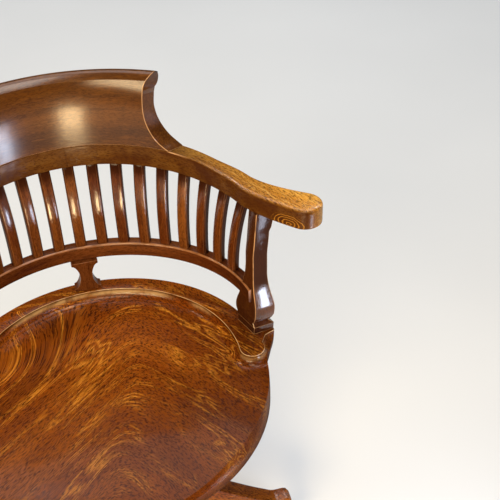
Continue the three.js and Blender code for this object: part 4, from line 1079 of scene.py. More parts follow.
@dataclass
class ArmPosts:
    """The two square posts on their swelled feet."""

    lean: float = 0.0103
    chamfer: float = 0.0012
    shaft_steps: int = 56
    lean_curve: Profile = Profile((
        (0, 0), (0.06, 0.08), (0.26, 0.4), (0.64, 0.4), (0.77, 0.62), (1, 1)))
    width: PostCurve = PostCurve(
        Profile(((0, 1), (0.056, 1), (0.083, 0.77), (0.105, 0.89)), smooth=False),
        Profile(((0.105, 0.89), (0.14, 0.97), (0.19, 0.98), (0.24, 0.94), (0.32, 0.84),
                 (0.41, 0.75), (0.5, 0.7), (0.845, 0.69), (0.865, 0.76), (0.92, 0.81),
                 (1, 0.87))))
    depth: PostCurve = PostCurve(
        Profile(((0, 1), (0.056, 1), (0.083, 1.08), (0.105, 1.16)), smooth=False),
        Profile(((0.105, 1.16), (0.14, 1.19), (0.19, 1.14), (0.24, 1.04), (0.32, 0.9),
                 (0.41, 0.74), (0.5, 0.62), (0.6, 0.57), (0.845, 0.55), (1, 0.53))))
    notch: PostCurve = PostCurve(
        Profile(((0, 0), (0.056, 0), (0.083, 0.1), (0.105, 0.035)), smooth=False),
        Profile(((0.105, 0.035), (0.14, 0.0), (0.2, 0.01), (0.28, 0.06), (0.36, 0.115),
                 (0.44, 0.135), (0.6, 0.12), (1, 0.1))))
    foot_shares: tuple[float, ...] = (
        0.0, 0.008, 0.05, 0.0535, 0.056, 0.0565, 0.06, 0.07, 0.083, 0.0835, 0.095)

    def ring(self, share: float) -> list[Vector]:
        """Return the post's chamfered section at a share of its height."""
        inner = self.lean * self.lean_curve.at(share)
        outer = inner + POST_AXES.width * self.width.at(share)
        front = POST_AXES.depth * self.notch.at(share)
        back = POST_AXES.depth * self.depth.at(share)
        section = box_section((inner, outer), (front, back), self.chamfer, self.chamfer, 3)
        height = min(max(share * POST_HEIGHT, GAP), POST_HEIGHT - GAP)
        return raised((POST_AXES.place(*point) for point in section), RIM_HEIGHT + height)

    def form(self) -> Form:
        """Build the right post."""
        shaft_shares = [mix(self.width.foot_top, 1.0, s) for s in evenly(self.shaft_steps)]
        rings = [self.ring(share) for share in (*self.foot_shares, *shaft_shares)]
        # The board that the post is cut from lies at about 20 degrees to its faces.
        grains = [[Vector((p.z, p.x * 0.94 - p.y * 0.34, p.y)) for p in ring] for ring in rings]
        form = Form.swept(rings, grains)
        for vert in form.bm.verts:
            point = vert[form.order]
            # Each corner holds four points, of which the middle two lie on its chamfer.
            on_chamfer = point % 4 in (1, 2)
            on_front = 3 <= point <= 7
            on_inner = point == 0 or point >= 12
            share = (vert.co.z - RIM_HEIGHT) / POST_HEIGHT
            corner = (0.8 if share > 0.06 else 0.2) if on_chamfer else 0.0
            ledge = 0.8 if share < 0.004 else 0.3 if 0.0555 < share < 0.057 else 0.0
            vert[form.wear_and_highlight] = max(corner, ledge)
            # Painted shade: darker on the plinth, at the top under the arm, on the upper front and
            # on the inner face.
            ends = 0.6 * fade(share, 0.09, 0.03) + 0.4 * fade(share, 0.85, 0.95)
            front = 0.88 * fade(share, 0.33, 0.43) if on_front else 0.0
            vert[form.shade] = max(ends, front, 0.5 if on_inner else 0.0)
        return form

    def build(self) -> None:
        """Dress both posts."""
        right = self.form()
        for side, sign in SIDES.items():
            dress(right.on_side(sign), f"post_{side}", "seat_assembly", POST_OAK,
                  f"arm_post_{side}", 24.0)


@dataclass
class Arms:
    """The bent hoop that widens to a paddle at each end."""

    width: float = 0.026
    end_width: float = 0.032
    end_place: Vector = field(default_factory=lambda: Vector((0.304, 0.0025)))
    end_radius: float = 0.0255
    end_turn: float = math.radians(40)
    edge_round: float = 0.007
    crisp_round: float = 0.001
    under_round: float = 0.0025
    bend_start: float = 0.9
    swell_start: float = 0.78
    crest_half: float = 0.148
    waist: float = 0.146
    half_joint: float = 0.00015
    bow_steps: int = 46
    bend_steps: int = 24
    tip_steps: int = 15
    corner_steps: int = 6

    def hoop_station(self, share: float) -> Station:
        """Return the hoop's middle line, outward normal and width at a share of its half width."""
        point, normal = HOOP.place(math.asin(share))
        grown = fade(share, self.swell_start, self.bend_start)
        width = mix(self.width, self.end_width, grown)
        return point + normal * width / 2, normal, width

    def bend_stations(self) -> list[Station]:
        """Return the stations of the outward bend, a cubic curve, and of the round tip."""
        start, normal, width = self.hoop_station(self.bend_start)
        leave = Vector((normal.y, -normal.x))
        arrive = heading(-self.end_turn)
        pull = (start - self.end_place).length / 3
        knots = (start, start + leave * pull, self.end_place - arrive * pull, self.end_place)

        def weighed(weights: Sequence[float]) -> Vector:
            """Return the sum of the knots by their weights."""
            return sum((knot * w for knot, w in zip(knots, weights)), Vector((0, 0)))

        found = []
        for t in evenly(self.bend_steps):
            point = weighed(((1 - t) ** 3, 3 * t * (1 - t) ** 2, 3 * t * t * (1 - t), t ** 3))
            run = weighed((-3 * (1 - t) ** 2, 3 * (1 - t) * (1 - 3 * t), 3 * t * (2 - 3 * t),
                           3 * t * t)).normalized()
            found.append((point, Vector((-run.y, run.x)), mix(width, self.end_radius * 2, t)))
        side = Vector((-arrive.y, arrive.x))
        for turn in evenly(self.tip_steps, math.pi / 2)[1:-1]:
            centre = self.end_place + arrive * self.end_radius * math.sin(turn)
            found.append((centre, side, self.end_radius * 2 * math.cos(turn)))
        return found

    def section(self, x: float, width: float) -> list[Pair]:
        """Return the arm's section, which thickens and crisps towards the crest."""
        level = fade(x, self.crest_half, HOOP.half_width)
        top = mix(CREST_BASE, POST_HEIGHT + ARM_THICKNESS, level)
        edge = min(mix(self.crisp_round, self.edge_round, level), width / 3)
        under = min(self.under_round, width / 3)
        return box_section((-width / 2, width / 2), (POST_HEIGHT, top), under, edge,
                           self.corner_steps)

    def form(self) -> Form:
        """Build the right arm."""
        turns = evenly(self.bow_steps, math.asin(self.bend_start))[:-1]
        bow = [self.hoop_station(math.sin(turn)) for turn in turns]
        middle, normal, width = bow[0]
        bow[0] = (Vector((self.half_joint, middle.y)), normal, width)
        stations = bow + self.bend_stations()
        origin, side, _ = stations[self.bow_steps]
        along = Vector((side.y, -side.x))
        rings, grains = [], []
        run = 0.0
        for k, (centre, normal, width) in enumerate(stations):
            section = self.section(centre.x, width)
            rings.append(stood(centre, normal, section))
            # How far along the bow the grain has come.
            if 0 < k <= self.bow_steps:
                run += (centre - stations[k - 1][0]).length
            if k < self.bow_steps:
                grains.append([Vector((run, across, up)) for across, up in section])
                continue
            # From the bend on, the grain runs straight on and out of the curved side.
            offsets = [(centre + normal * across - origin, up) for across, up in section]
            grains.append([Vector((run + off.dot(along), off.dot(side), up))
                           for off, up in offsets])
        form = Form.swept(rings, grains)
        for vert in form.bm.verts:
            # Each corner holds seven points: 14 to 20 round the outer top, 21 to 27 the inner.
            point, x = vert[form.order], vert.co.x
            on_inner_top = 22 <= point <= 26 and x > self.waist
            vert[form.wear_and_highlight] = fade(x, self.waist + 0.03, self.waist) if on_inner_top else 0.0
            # Darker towards the crest, and painted shade on the side faces, lifted at the paddle's
            # tip.
            off_top = max(fade(point, 21, 25), fade(point, 17, 13))
            side_shade = off_top * (1 - 0.55 * fade(x, 0.298, 0.318))
            vert[form.shade] = 0.98 * max(fade(x, 0.31, 0.12), side_shade)
        return form

    def build(self) -> None:
        """Dress both arms."""
        right = self.form()
        for side, sign in SIDES.items():
            dress(right.on_side(sign), f"arm_bow_{side}", "seat_assembly", ARM_OAK,
                  f"arm_{side}", 26.0)


@dataclass
class Crest:
    """The tall crest rail with its rolled top and sawn ends."""

    height: float = 0.113
    thickness: float = 0.025
    lean: float = 0.017
    middle_lean: float = 0.010
    roll: float = 0.0115
    waist: float = 0.1176
    steps: int = 56
    front_steps: int = 23
    back_steps: int = 19
    front_share: float = 0.92
    back_share: float = 0.7
    # Angles of the rolled top, in degrees from straight back.
    front_roll: Sequence[int] = range(128, 63, -16)
    back_roll: Sequence[int] = (*range(-95, 32, 18), 48)
    # By share of the height: half width over the waist's, and lean over the whole lean.
    front_end: Profile = Profile((
        (0, 1.26), (0.05, 1.195), (0.12, 1.13), (0.2, 1.085), (0.3, 1.045), (0.42, 1.015),
        (0.56, 1.002), (0.7, 1), (0.82, 1.004), (0.92, 1.028), (0.97, 1.055), (1, 1.08)))
    back_end: Profile = Profile((
        (0, 1.33), (0.05, 1.276), (0.12, 1.209), (0.2, 1.157), (0.3, 1.112), (0.42, 1.076),
        (0.56, 1.058), (0.7, 1.06), (0.8, 1.085), (1, 1.094)))
    front_lean: Profile = Profile((
        (0, 0), (0.12, 0.015), (0.3, 0.05), (0.42, 0.09), (0.56, 0.16), (0.7, 0.31),
        (0.82, 0.52), (0.92, 0.8)))
    back_lean: Profile = Profile(((0, 0), (0.3, 0.01), (0.42, 0.05), (0.56, 0.14), (0.7, 0.34)))

    def section(self, lean: float) -> list[Triple]:
        """Return the section up the front and down the back, as out, up and half width."""
        front = [(lean * self.front_lean.at(share), share)
                 for share in evenly(self.front_steps, self.front_share)]
        back = [(self.thickness + lean * self.back_lean.at(share), share)
                for share in evenly(self.back_steps, self.back_share)]
        for side, angles in ((front, self.front_roll), (back, self.back_roll)):
            for angle in angles:
                turn = math.radians(angle)
                up = self.height - self.roll * (1 - math.sin(turn))
                side.append((lean + self.roll * (1 + math.cos(turn)), up / self.height))
        points = [(out, share, self.front_end) for out, share in front]
        points += [(out, share, self.back_end) for out, share in reversed(back)]
        return [(out, share * self.height, self.waist * end.at(share))
                for out, share, end in points]

    def build(self) -> None:
        """Build and dress the crest."""
        rings, grains = [], []
        for share in evenly(self.steps):
            side = 2 * share - 1
            ring, grain = [], []
            for out, up, half in self.section(mix(self.middle_lean, self.lean, side * side)):
                angle = math.asin(half / HOOP.half_width) * side
                ring += stood(*HOOP.place(angle), [(out, CREST_BASE + GAP + up)])
                grain.append(Vector((angle * 0.26, up + 0.31, out)))
            rings.append(ring)
            grains.append(grain)
        form = Form.swept(rings, grains, Cap.ZIPPED)
        form.soften(0.0011, 48.0)
        dress(form, "crest", "seat_assembly", CREST_OAK, "crest_rail", 20.0)


@dataclass
class BackRail:
    """The lower back rail, its slats and the brace under it."""

    height: float = 0.026
    width: float = 0.018
    rise: float = 0.058
    edge_round: float = 0.003
    half_turn: float = math.radians(83.5)
    steps: int = 96
    slat_count: int = 17
    slat_width: float = 0.0175
    slat_depth: float = 0.013
    slat_chamfer: float = 0.0024
    slat_crown: float = 0.0006
    slat_bow: float = 0.0055
    slat_steps: int = 24
    foot_step: float = math.radians(8.4)
    head_step: float = math.radians(8.3)
    setback: float = 0.0105
    brace_half: float = 0.0215
    brace_waist: float = 0.010
    brace_neck: float = 0.86
    brace_lip: float = 0.005
    brace_shelf: float = 1.2
    brace_fullness: float = 0.7
    brace_thickness: float = 0.018
    brace_back: float = 0.225
    brace_steps: int = 22

    def rail(self) -> None:
        """Build and dress the lower rail."""
        section = box_section((0, self.width), (self.rise, self.rise + self.height),
                              self.edge_round, self.edge_round, 4)
        rings, grains = [], []
        for share in evenly(self.steps):
            angle = self.half_turn * (2 * share - 1)
            rings.append(stood(*RAIL.place(angle), section))
            grains.append([Vector((angle * 0.215, across + 0.5, up)) for across, up in section])
        form = Form.swept(rings, grains)
        for vert in form.bm.verts:
            # Each corner holds five points: 15 to 19 round the inner top.
            on_inner_top = 16 <= vert[form.order] <= 18
            vert[form.wear_and_highlight] = 0.75 if on_inner_top else 0.0
        dress(form, "back_rail", "seat_assembly", DARK_OAK, "lower_back_rail", 26.0)

    def slat(self, number: float, name: str, node: str) -> None:
        """Build and dress one slat.

        Args:
            number: Steps from the middle of the back, right positive.
            name: Name of the piece.
            node: The node it stands for.
        """
        foot, foot_normal = RAIL.grown(self.width / 2).place(self.foot_step * number)
        head, head_normal = HOOP.grown(self.setback).place(self.head_step * number)
        bottom = RIM_HEIGHT + self.rise + self.height + GAP
        top = RIM_HEIGHT + POST_HEIGHT - GAP
        half, deep, cut = self.slat_width / 2, self.slat_depth / 2, self.slat_chamfer
        section = ((-half, -deep + cut), (-half + cut, -deep), (0.0, -deep - self.slat_crown),
                   (half - cut, -deep), (half, -deep + cut), (half, deep - cut),
                   (half - cut, deep), (-half + cut, deep), (-half, deep - cut))
        rings, grains = [], []
        for share in evenly(self.slat_steps):
            normal = foot_normal.lerp(head_normal, share).normalized()
            point = foot.lerp(head, share) - normal * self.slat_bow * 4 * share * (1 - share)
            along = Vector((normal.y, -normal.x))
            height = mix(bottom, top, share)
            rings.append(raised((point + along * a + normal * b for a, b in section), height))
            grains.append([Vector((height, a + number * 0.13, b + number * 0.31))
                           for a, b in section])
        form = Form.swept(rings, grains)
        form.soften(0.0006, 30.0, 0.3)
        form.bm.normal_update()
        middle = foot_normal.lerp(head_normal, 0.5).normalized()
        for vert in form.bm.verts:
            sideways = abs(vert.normal.x * middle.y - vert.normal.y * middle.x)
            share = (vert.co.z - bottom) / (top - bottom)
            # Painted shade on the slat's sides and on its head under the arm.
            vert[form.shade] = max(0.9 * fade(sideways, 0.6, 0.9), 0.97 * fade(share, 0.8, 0.94))
        dress(form, name, "seat_assembly", SLAT_OAK, node, 22.0)

    def brace(self) -> None:
        """Build and dress the fretted brace."""
        tall = self.rise - 2 * GAP
        half, lip = self.brace_half, self.brace_lip
        near, shelf = half * self.brace_neck, lip * self.brace_shelf
        right = [(half, 0.0), (half, lip), (near, shelf)]
        for share in evenly(self.brace_steps)[1:-1]:
            scoop = math.sin(math.pi * share) ** self.brace_fullness
            right.append((mix(near, self.brace_waist, scoop), mix(shelf, tall - shelf, share)))
        right += [(near, tall - shelf), (half, tall - lip), (half, tall)]
        outline = right + [(-x, z) for x, z in right[::-1]]
        rings = [
            [Vector((x, y, RIM_HEIGHT + GAP + z)) for x, z in outline]
            for y in (self.brace_back - self.brace_thickness, self.brace_back)
        ]
        form = Form.swept(rings, [[Vector((p.z, p.x, p.y)) for p in ring] for ring in rings])
        form.soften(0.0008, 50.0, 0.7)
        dress(form, "fretted_brace", "seat_assembly", DARK_OAK, "back_brace", 22.0)

    def build(self) -> None:
        """Build the rail, the slats and the brace."""
        self.rail()
        for i in range(self.slat_count):
            node = f"slat_{i + 1:02d}"
            self.slat(i - (self.slat_count - 1) / 2, f"back_{node}", node)
        self.brace()


def metal_from_node(node: str, name: str, body: str, finish: MetalFinish,
                    width: float = 0.0007) -> None:
    """Dress a copy of a plain metal node with rounded and worn arrises.

    Args:
        node: The node to copy.
        name: Name of the piece.
        body: Body that it rides on.
        finish: Its metal.
        width: Width of the rounding.
    """
    form = Form(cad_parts[node].data)
    form.tidy(10 * SAME_PLACE)
    bmesh.ops.dissolve_limit(form.bm, angle_limit=math.radians(0.5), verts=form.bm.verts,
                             edges=form.bm.edges)
    form.soften(width, 40.0)
    dress(form, name, body, finish, node, 38.0)


@dataclass
class TiltMechanism:
    """The irons, yoke, pins, rod, spring and knob under the seat."""

    underside: float = 0.414
    iron_thickness: float = 0.007
    spring_top: float = 0.3717
    spring_length: float = 0.052
    spring_radius: float = 0.014
    spring_wire: float = 0.0024
    curls: int = 6
    steps_per_curl: int = 36
    wire_sides: int = 12
    squeezed_share: float = 0.55
    knob_top: float = 0.3161
    knob_height: float = 0.020
    knob_radius: float = 0.024
    knob_lobe: float = 0.003
    knob_lobes: int = 6
    knob_rings: int = 14
    knob_sides: int = 72
    knob_curve: Profile = Profile((
        (0, 0.72), (0.12, 0.9), (0.28, 1), (0.6, 1), (0.75, 0.9), (0.9, 0.68), (1, 0.6)))
    rod_radius: float = 0.0045
    screw_head: tuple[Pair, ...] = (
        (0, -0.0022), (0.0022, -0.002), (0.0042, -0.0011), (0.005, 0.0), (0.005, 0.0006),
        (0, 0.0006))
    screw_slot: Triple = (0.012, 0.0011, 0.0024)
    slot_drop: float = 0.0023
    # Places of the screws across the chair, and in pairs from front to back.
    across_places: tuple[float, ...] = (-0.118, -0.086, 0.086, 0.118)
    pair_places: tuple[float, ...] = (-0.108, 0.108, 0.072)
    pair_half: float = 0.010
    # Each screw stopped at another angle, in radians.
    screw_turn: float = 0.7

    def spring(self) -> None:
        """Build and dress the spring."""
        low = self.spring_top - self.spring_length + self.spring_wire
        high = self.spring_top - self.spring_wire
        rise = (high - low) / (self.curls * math.tau)
        round_wire = [heading(turn) for turn in evenly(self.wire_sides, math.tau)[:-1]]
        rings = []
        for share in evenly(self.curls * self.steps_per_curl):
            angle = math.tau * self.curls * share
            out = Vector((math.cos(angle), math.sin(angle), 0))
            onward = Vector((-out.y * self.spring_radius, out.x * self.spring_radius, rise))
            up = onward.normalized().cross(out).normalized()
            centre = out * self.spring_radius
            centre += Vector((0, TILT_ROD_BACK, mix(low, high, share)))
            rings.append([centre + (out * p.x + up * p.y) * self.spring_wire
                          for p in round_wire])
        wire = dress(Form.swept(rings), "spring_wire", "yoke", BARE_STEEL, "tension_spring", 35.0)
        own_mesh(wire)

    def knob(self) -> None:
        """Build and dress the lobed knob."""
        rings = []
        for share in evenly(self.knob_rings):
            girth = self.knob_curve.at(share)
            radii = []
            for turn in evenly(self.knob_sides, math.tau)[:-1]:
                cut = self.knob_lobe / 2 * (1 - math.cos(self.knob_lobes * turn))
                radii.append((self.knob_radius - cut) * girth)
            height = self.knob_top - self.knob_height * (1 - share)
            rings.append(round_ring(height, radii, TILT_ROD_BACK))
        bore, reach = self.rod_radius + GAP, 0.05
        hole = Form.turned(((0, -reach), (bore, -reach), (bore, reach), (0, reach)), 32)
        hole = hole.moved(Matrix.Translation((0, TILT_ROD_BACK, self.knob_top)))
        form = carve(Form.swept(rings), hole)
        form.tidy()
        form.soften(0.0008, 45.0)
        dress(form, "knob", "knob", BLACK_IRON, "tension_knob", 30.0)

    def screws(self) -> None:
        """Build and dress the slotted screws that hold the irons to the seat."""
        slot = Form()
        lowered = Matrix.Translation((0, 0, -self.slot_drop))
        bmesh.ops.create_cube(slot.bm, size=1.0,
                              matrix=lowered @ Matrix.Diagonal((*self.screw_slot, 1)))
        head = carve(Form.turned(self.screw_head, 24), slot)
        head.tidy()
        level = self.underside - GAP - self.iron_thickness
        places = [(x, 0.0) for x in self.across_places]
        places += [(x, y) for y in self.pair_places for x in (-self.pair_half, self.pair_half)]
        form = Form()
        for i, (x, y) in enumerate(places):
            turn = Matrix.Rotation(self.screw_turn * i, 4, "Z")
            form.add(head, Matrix.Translation((x, y, level)) @ turn)
        dress(form, "iron_screws", "seat_assembly", BARE_STEEL, None, 30.0)

    def build(self) -> None:
        """Dress every piece of the mechanism."""
        metal_from_node("seat_irons", "cross_irons", "seat_assembly", BLACK_IRON)
        metal_from_node("swivel_yoke", "yoke_casting", "yoke", BLACK_IRON)
        metal_from_node("tilt_pin", "tilt_pin_steel", "seat_assembly", BARE_STEEL, 0.0004)
        metal_from_node("rod_pivot_pin", "rod_pin_steel", "seat_assembly", BARE_STEEL, 0.0003)
        metal_from_node("tension_rod", "rod_steel", "rod", BARE_STEEL, 0.0003)
        metal_from_node("spring_washer", "washer_steel", "rod", BARE_STEEL, 0.0003)
        self.spring()
        self.knob()
        self.screws()


@dataclass
class HeightScrew:
    """The screw spindle, its hand wheel and the collar under it."""

    shoulder: float = 0.3437
    length: float = 0.200
    radius: float = 0.014
    pitch: float = 0.006
    thread_depth: float = 0.0018
    thread_steepness: float = 3.0
    thread_start: float = 0.004
    thread_end: float = 0.01
    rings_per_turn: int = 10
    sides: int = 36
    journal: float = 0.0105
    journal_height: float = 0.030
    journal_chamfer: float = 0.002
    wheel_bottom: float = 0.2616
    wheel_radius: float = 0.062
    rim_radius: float = 0.008
    rim_sides: int = 20
    boss_radius: float = 0.025
    boss_height: float = 0.034
    boss_face: float = 0.003
    spoke_count: int = 4
    spoke_root: float = 0.020
    spoke_radii: Pair = (0.0066, 0.0052)
    spoke_flatness: float = 0.86
    collar_bottom: float = 0.2463
    # Radius and rise over the collar's bottom.
    collar_side: tuple[Pair, ...] = (
        (0.038, 0), (0.038, 0.005), (0.0365, 0.0062), (0.0328, 0.0084), (0.029, 0.0105),
        (0.0262, 0.013), (0.025, 0.015))

    def spindle(self) -> None:
        """Build and dress the threaded spindle."""
        low = self.shoulder - self.length
        rings = []
        steps = int(self.length / self.pitch * self.rings_per_turn)
        for rise in evenly(steps, self.length):
            height = low + rise
            whole = min(1.0, (self.shoulder - height) / self.thread_end, rise / self.thread_start)
            deep = self.thread_depth * whole
            radii = []
            for share in evenly(self.sides)[:-1]:
                phase = (rise / self.pitch - share) % 1.0
                flank = min(1.0, self.thread_steepness * min(phase, 1 - phase))
                radii.append(self.radius - deep + deep * flank)
            rings.append(round_ring(height, radii))
        top, chamfer = self.shoulder + self.journal_height, self.journal_chamfer
        for radius, height in ((self.journal, self.shoulder), (self.journal, top - chamfer),
                               (self.journal - chamfer, top)):
            rings.append(round_ring(height, [radius] * self.sides))
        dress(Form.swept(rings), "threaded_spindle", "spindle", BARE_STEEL, "screw_spindle", 40.0)

    def handwheel(self) -> None:
        """Build and dress the hand wheel."""
        bottom, tall, wide = self.wheel_bottom, self.boss_height, self.boss_radius
        top = bottom + tall
        bore = self.radius + GAP
        form = Form.turned((
            (bore, bottom), (wide, bottom), (wide, bottom + tall * 0.55),
            (wide * 0.97, bottom + tall * 0.62), (wide * 0.88, top - self.boss_face),
            (wide * 0.82, top), (bore, top), (bore, bottom)), 48)
        level = bottom + tall * 0.4
        middle = self.wheel_radius - self.rim_radius
        rim = [(middle + self.rim_radius * math.cos(angle),
                level + self.rim_radius * math.sin(angle))
               for angle in evenly(self.rim_sides, math.tau)]
        form.add(Form.turned(rim, 72), Matrix.Identity(4))
        spoke = Form()
        root, tip = self.spoke_radii
        bmesh.ops.create_cone(spoke.bm, cap_ends=True, segments=20, radius1=root, radius2=tip,
                              depth=middle - self.spoke_root)
        laid = (Matrix.Translation(((middle + self.spoke_root) / 2, 0, level))
                @ Matrix.Rotation(math.pi / 2, 4, "Y")
                @ Matrix.Diagonal((self.spoke_flatness, 1, 1, 1)))
        for i in range(self.spoke_count):
            turn = Matrix.Rotation(math.tau * (i + 0.5) / self.spoke_count, 4, "Z")
            form.add(spoke, turn @ laid)
        form.tidy()
        form.soften(0.0009, 42.0)
        dress(form, "cast_handwheel", "handwheel", BLACK_IRON, "height_handwheel", 32.0)

    def collar(self) -> None:
        """Build and dress the thrust collar."""
        bore, low = self.radius + 2 * GAP, self.collar_bottom
        side = [(radius, low + rise) for radius, rise in self.collar_side]
        form = Form.turned([(bore, low), *side, (bore, side[-1][1]), (bore, low)], 56)
        form.soften(0.0007, 50.0)
        dress(form, "thrust_collar", "base", BLACK_IRON, "hub_collar", 30.0)

    def build(self) -> None:
        """Build all three."""
        self.spindle()
        self.handwheel()
        self.collar()


@dataclass
class Base:
    """The turned hub and the four legs."""

    hub_bottom: float = 0.118
    hub_height: float = 0.128
    hub_radius: float = 0.047
    bore: float = 0.0146
    reach: float = 0.288
    root: float = 0.0282
    first_share: float = 0.11
    width: float = 0.040
    toe_width: float = 0.032
    root_top: float = 0.226
    toe_top: float = 0.084
    toe_bottom: float = 0.061
    edge_round: float = 0.006
    under_round: float = 0.003
    toe_trim: float = 0.006
    toe_share: float = 0.97
    steps: int = 52
    # Shares of the hub's radius and height.
    hub_side: tuple[Pair, ...] = (
        (0.8, 0), (0.88, 0.008), (0.92, 0.02), (0.98, 0.05), (1, 0.07), (1, 0.855),
        (0.985, 0.87), (0.94, 0.885), (0.93, 0.89), (0.955, 0.905), (0.97, 0.93), (0.96, 0.96),
        (0.93, 0.98), (0.88, 0.997), (0.86, 1))
    rise: Profile = Profile((
        (0, 1), (0.12, 0.97), (0.25, 0.86), (0.4, 0.66), (0.55, 0.44), (0.7, 0.23),
        (0.82, 0.08), (0.9, 0), (1, 0)))
    under: Profile = Profile((
        (0, 1), (0.22, 1), (0.32, 0.87), (0.45, 0.66), (0.6, 0.44), (0.75, 0.22), (0.85, 0),
        (1, 0)))

    def hub(self) -> None:
        """Build and dress the turned hub."""
        low, top = self.hub_bottom, self.hub_bottom + self.hub_height
        side = [(self.hub_radius * r, low + self.hub_height * z) for r, z in self.hub_side]
        form = Form.turned([(self.bore, low), *side, (self.bore, top), (self.bore, low)], 72)
        form.paint_grain(lambda place: Vector((place.z, place.x, place.y)))
        dress(form, "turned_hub", "base", DARK_OAK, "hub", 24.0)

    def leg(self, number: int, name: str) -> None:
        """Build and dress one leg.

        Args:
            number: Quarter turns from the right.
            name: Which leg it is.
        """
        rings, grains = [], []
        for step in evenly(self.steps):
            share = mix(self.first_share, 1.0, step)
            reach = mix(self.root, self.reach, share)
            past_toe = max((share - self.toe_share) / (1 - self.toe_share), 0.0)
            trim = self.toe_trim * past_toe ** 2
            top = mix(self.toe_top, self.root_top, self.rise.at(share)) - trim
            low = mix(self.toe_bottom, self.hub_bottom + GAP, self.under.at(share))
            half = mix(self.width, self.toe_width, share) / 2 - trim * 0.6
            section = box_section((-half, half), (low, top), self.under_round, self.edge_round, 5)
            rings.append([Vector((reach, y, z)) for y, z in section])
            # The grain slopes down the leg by about 30 degrees.
            grains.append([Vector((reach * 0.86 - z * 0.5, y + number * 0.2,
                                   z * 0.86 + reach * 0.5)) for y, z in section])
        form = Form.swept(rings, grains)
        form.soften(0.0008, 50.0, 0.8)
        turn = Matrix.Rotation(math.pi / 2 * number, 4, "Z")
        dress(form.moved(turn), f"shaped_leg_{name}", "base", LEG_OAK, f"leg_{name}", 24.0)

    def build(self) -> None:
        """Build the hub, the legs and the strap."""
        self.hub()
        for number, name in enumerate(LEG_NAMES):
            self.leg(number, name)
        metal_from_node("leg_strap", "cross_strap", "base", BLACK_IRON, 0.0006)


@dataclass
class Castors:
    """The sockets, forks, axles and wheels under the legs."""

    pivot: float = 0.268
    trail: float = 0.020
    wheel: float = 0.022
    half: float = 0.0075
    flange_top: float = 0.0607
    # Radius and distance in from the wheel's side, from the bore to the tread.
    wheel_side: tuple[Pair, ...] = (
        (0.0033, 0), (0.0075, 0), (0.0085, 0.0012), (0.0125, 0.0012), (0.014, 0), (0.0164, 0),
        (0.0192, 0.0009), (0.0204, 0.0024), (0.0217, 0.0041), (0.022, 0.0053))
    # Radius and rise over the flange's top.
    socket_side: tuple[Pair, ...] = (
        (0.0053, -0.003), (0.0138, -0.003), (0.0147, -0.0026), (0.015, -0.0018),
        (0.015, -0.0006), (0.0146, 0), (0.0078, 0), (0.0078, 0.0163), (0.0053, 0.0163),
        (0.0053, -0.003))

    def wheel_form(self) -> Form:
        """Build a wheel about its own axis, which lies along Y."""
        side = [(radius, step - self.half) for radius, step in self.wheel_side]
        other_side = [(radius, -place) for radius, place in reversed(side)]
        form = Form.turned([*side, *other_side, side[0]], 48)
        form = form.moved(Matrix.Rotation(math.pi / 2, 4, "X"))
        form.tidy()
        form.paint_grain(lambda place: place)
        return form

    def build(self) -> None:
        """Dress the four castors."""
        wheel = self.wheel_form()
        side = [(radius, self.flange_top + rise) for radius, rise in self.socket_side]
        socket = Form.turned(side, 40)
        at_axle = Matrix.Translation((self.pivot + self.trail, 0, self.wheel))
        at_stem = Matrix.Translation((self.pivot, 0, 0))
        for number, name in enumerate(LEG_NAMES):
            turn = Matrix.Rotation(math.pi / 2 * number, 4, "Z")
            dress(wheel.moved(turn @ at_axle), f"wheel_tread_{name}", f"wheel_{name}",
                  TURNED_WOOD, f"castor_wheel_{name}", 30.0)
            dress(socket.moved(turn @ at_stem), f"socket_cup_{name}", "base", AGED_BRASS,
                  f"castor_socket_{name}", 30.0)
            for part, metal, finish, width in (("fork", "brass", AGED_BRASS, 0.0005),
                                               ("axle", "steel", BARE_STEEL, 0.0003)):
                metal_from_node(f"castor_{part}_{name}", f"{metal}_{part}_{name}",
                                f"castor_{name}", finish, width)


@dataclass(frozen=True)
class Lamp:
    """One soft rectangular light: its place, what it faces, width and height, watts, colour."""

    name: str
    place: Triple
    aim: Triple
    size: Pair
    power: float
    colour: str

    def hang(self) -> None:
        """Put the light in the scene."""
        lamp = bpy.data.lights.new(self.name, "AREA")
        lamp.shape = "RECTANGLE"
        lamp.size, lamp.size_y = self.size
        lamp.energy = self.power
        lamp.color = tone(self.colour)[:3]
        made = bpy.data.objects.new(self.name, lamp)
        made.location = self.place
        sight = Vector(self.aim) - Vector(self.place)
        made.rotation_euler = sight.to_track_quat("-Z", "Y").to_euler()
        bpy.context.scene.collection.objects.link(made)


LAMPS = (
    Lamp("overhead", (0.3, 2.0, 4.5), (0.3, 2.0, 0.0), (3.2, 3.2), 86.0, "fdfcfc"),
    Lamp("top_front", (0.6, -0.5, 4.2), (0.1, 0.1, 0.5), (1.2, 1.2), 38.0, "fffaf2"),
    Lamp("floor_right", (2.2, 2.6, 4.0), (1.6, 2.4, 0.0), (1.2, 1.2), 56.0, "fdfcfc"),
    Lamp("floor_left", (-1.4, 2.8, 4.0), (-0.6, 2.4, 0.0), (1.2, 1.2), 44.0, "fdfcfc"),
    Lamp("crest_window", (-1.5, -2.0, 1.34), (0.1, 0.2, 0.83), (1.75, 0.6), 66.0, "ffe0ae"),
    Lamp("low_front", (-0.125, -1.0, 0.22), (0.05, 0.2, 0.62), (0.29, 0.2), 6.5, "ffdca4"),
    Lamp("post_glint", (0.615, -0.57, 0.23), (0.255, 0.03, 0.535), (0.17, 0.21), 3.6, "dce8ff"),
    Lamp("cove_front", (-0.23, -0.87, 1.95), (0.06, 0.2, 0.46), (0.7, 0.6), 14.0, "ffe8c0"),
    Lamp("cove_left", (-0.955, 0.49, 1.8), (0.19, 0.12, 0.46), (0.4, 0.3), 6.0, "ffeccc"),
    Lamp("paddle_end", (0.82, -1.07, 1.64), (0.32, 0.0, 0.72), (0.25, 0.35), 3.6, "e8e4ff"),
    Lamp("right_window", (2.4, -1.0, 0.6), (0.2, 0.0, 0.6), (0.9, 1.0), 3.6, "dce6ff"),
)


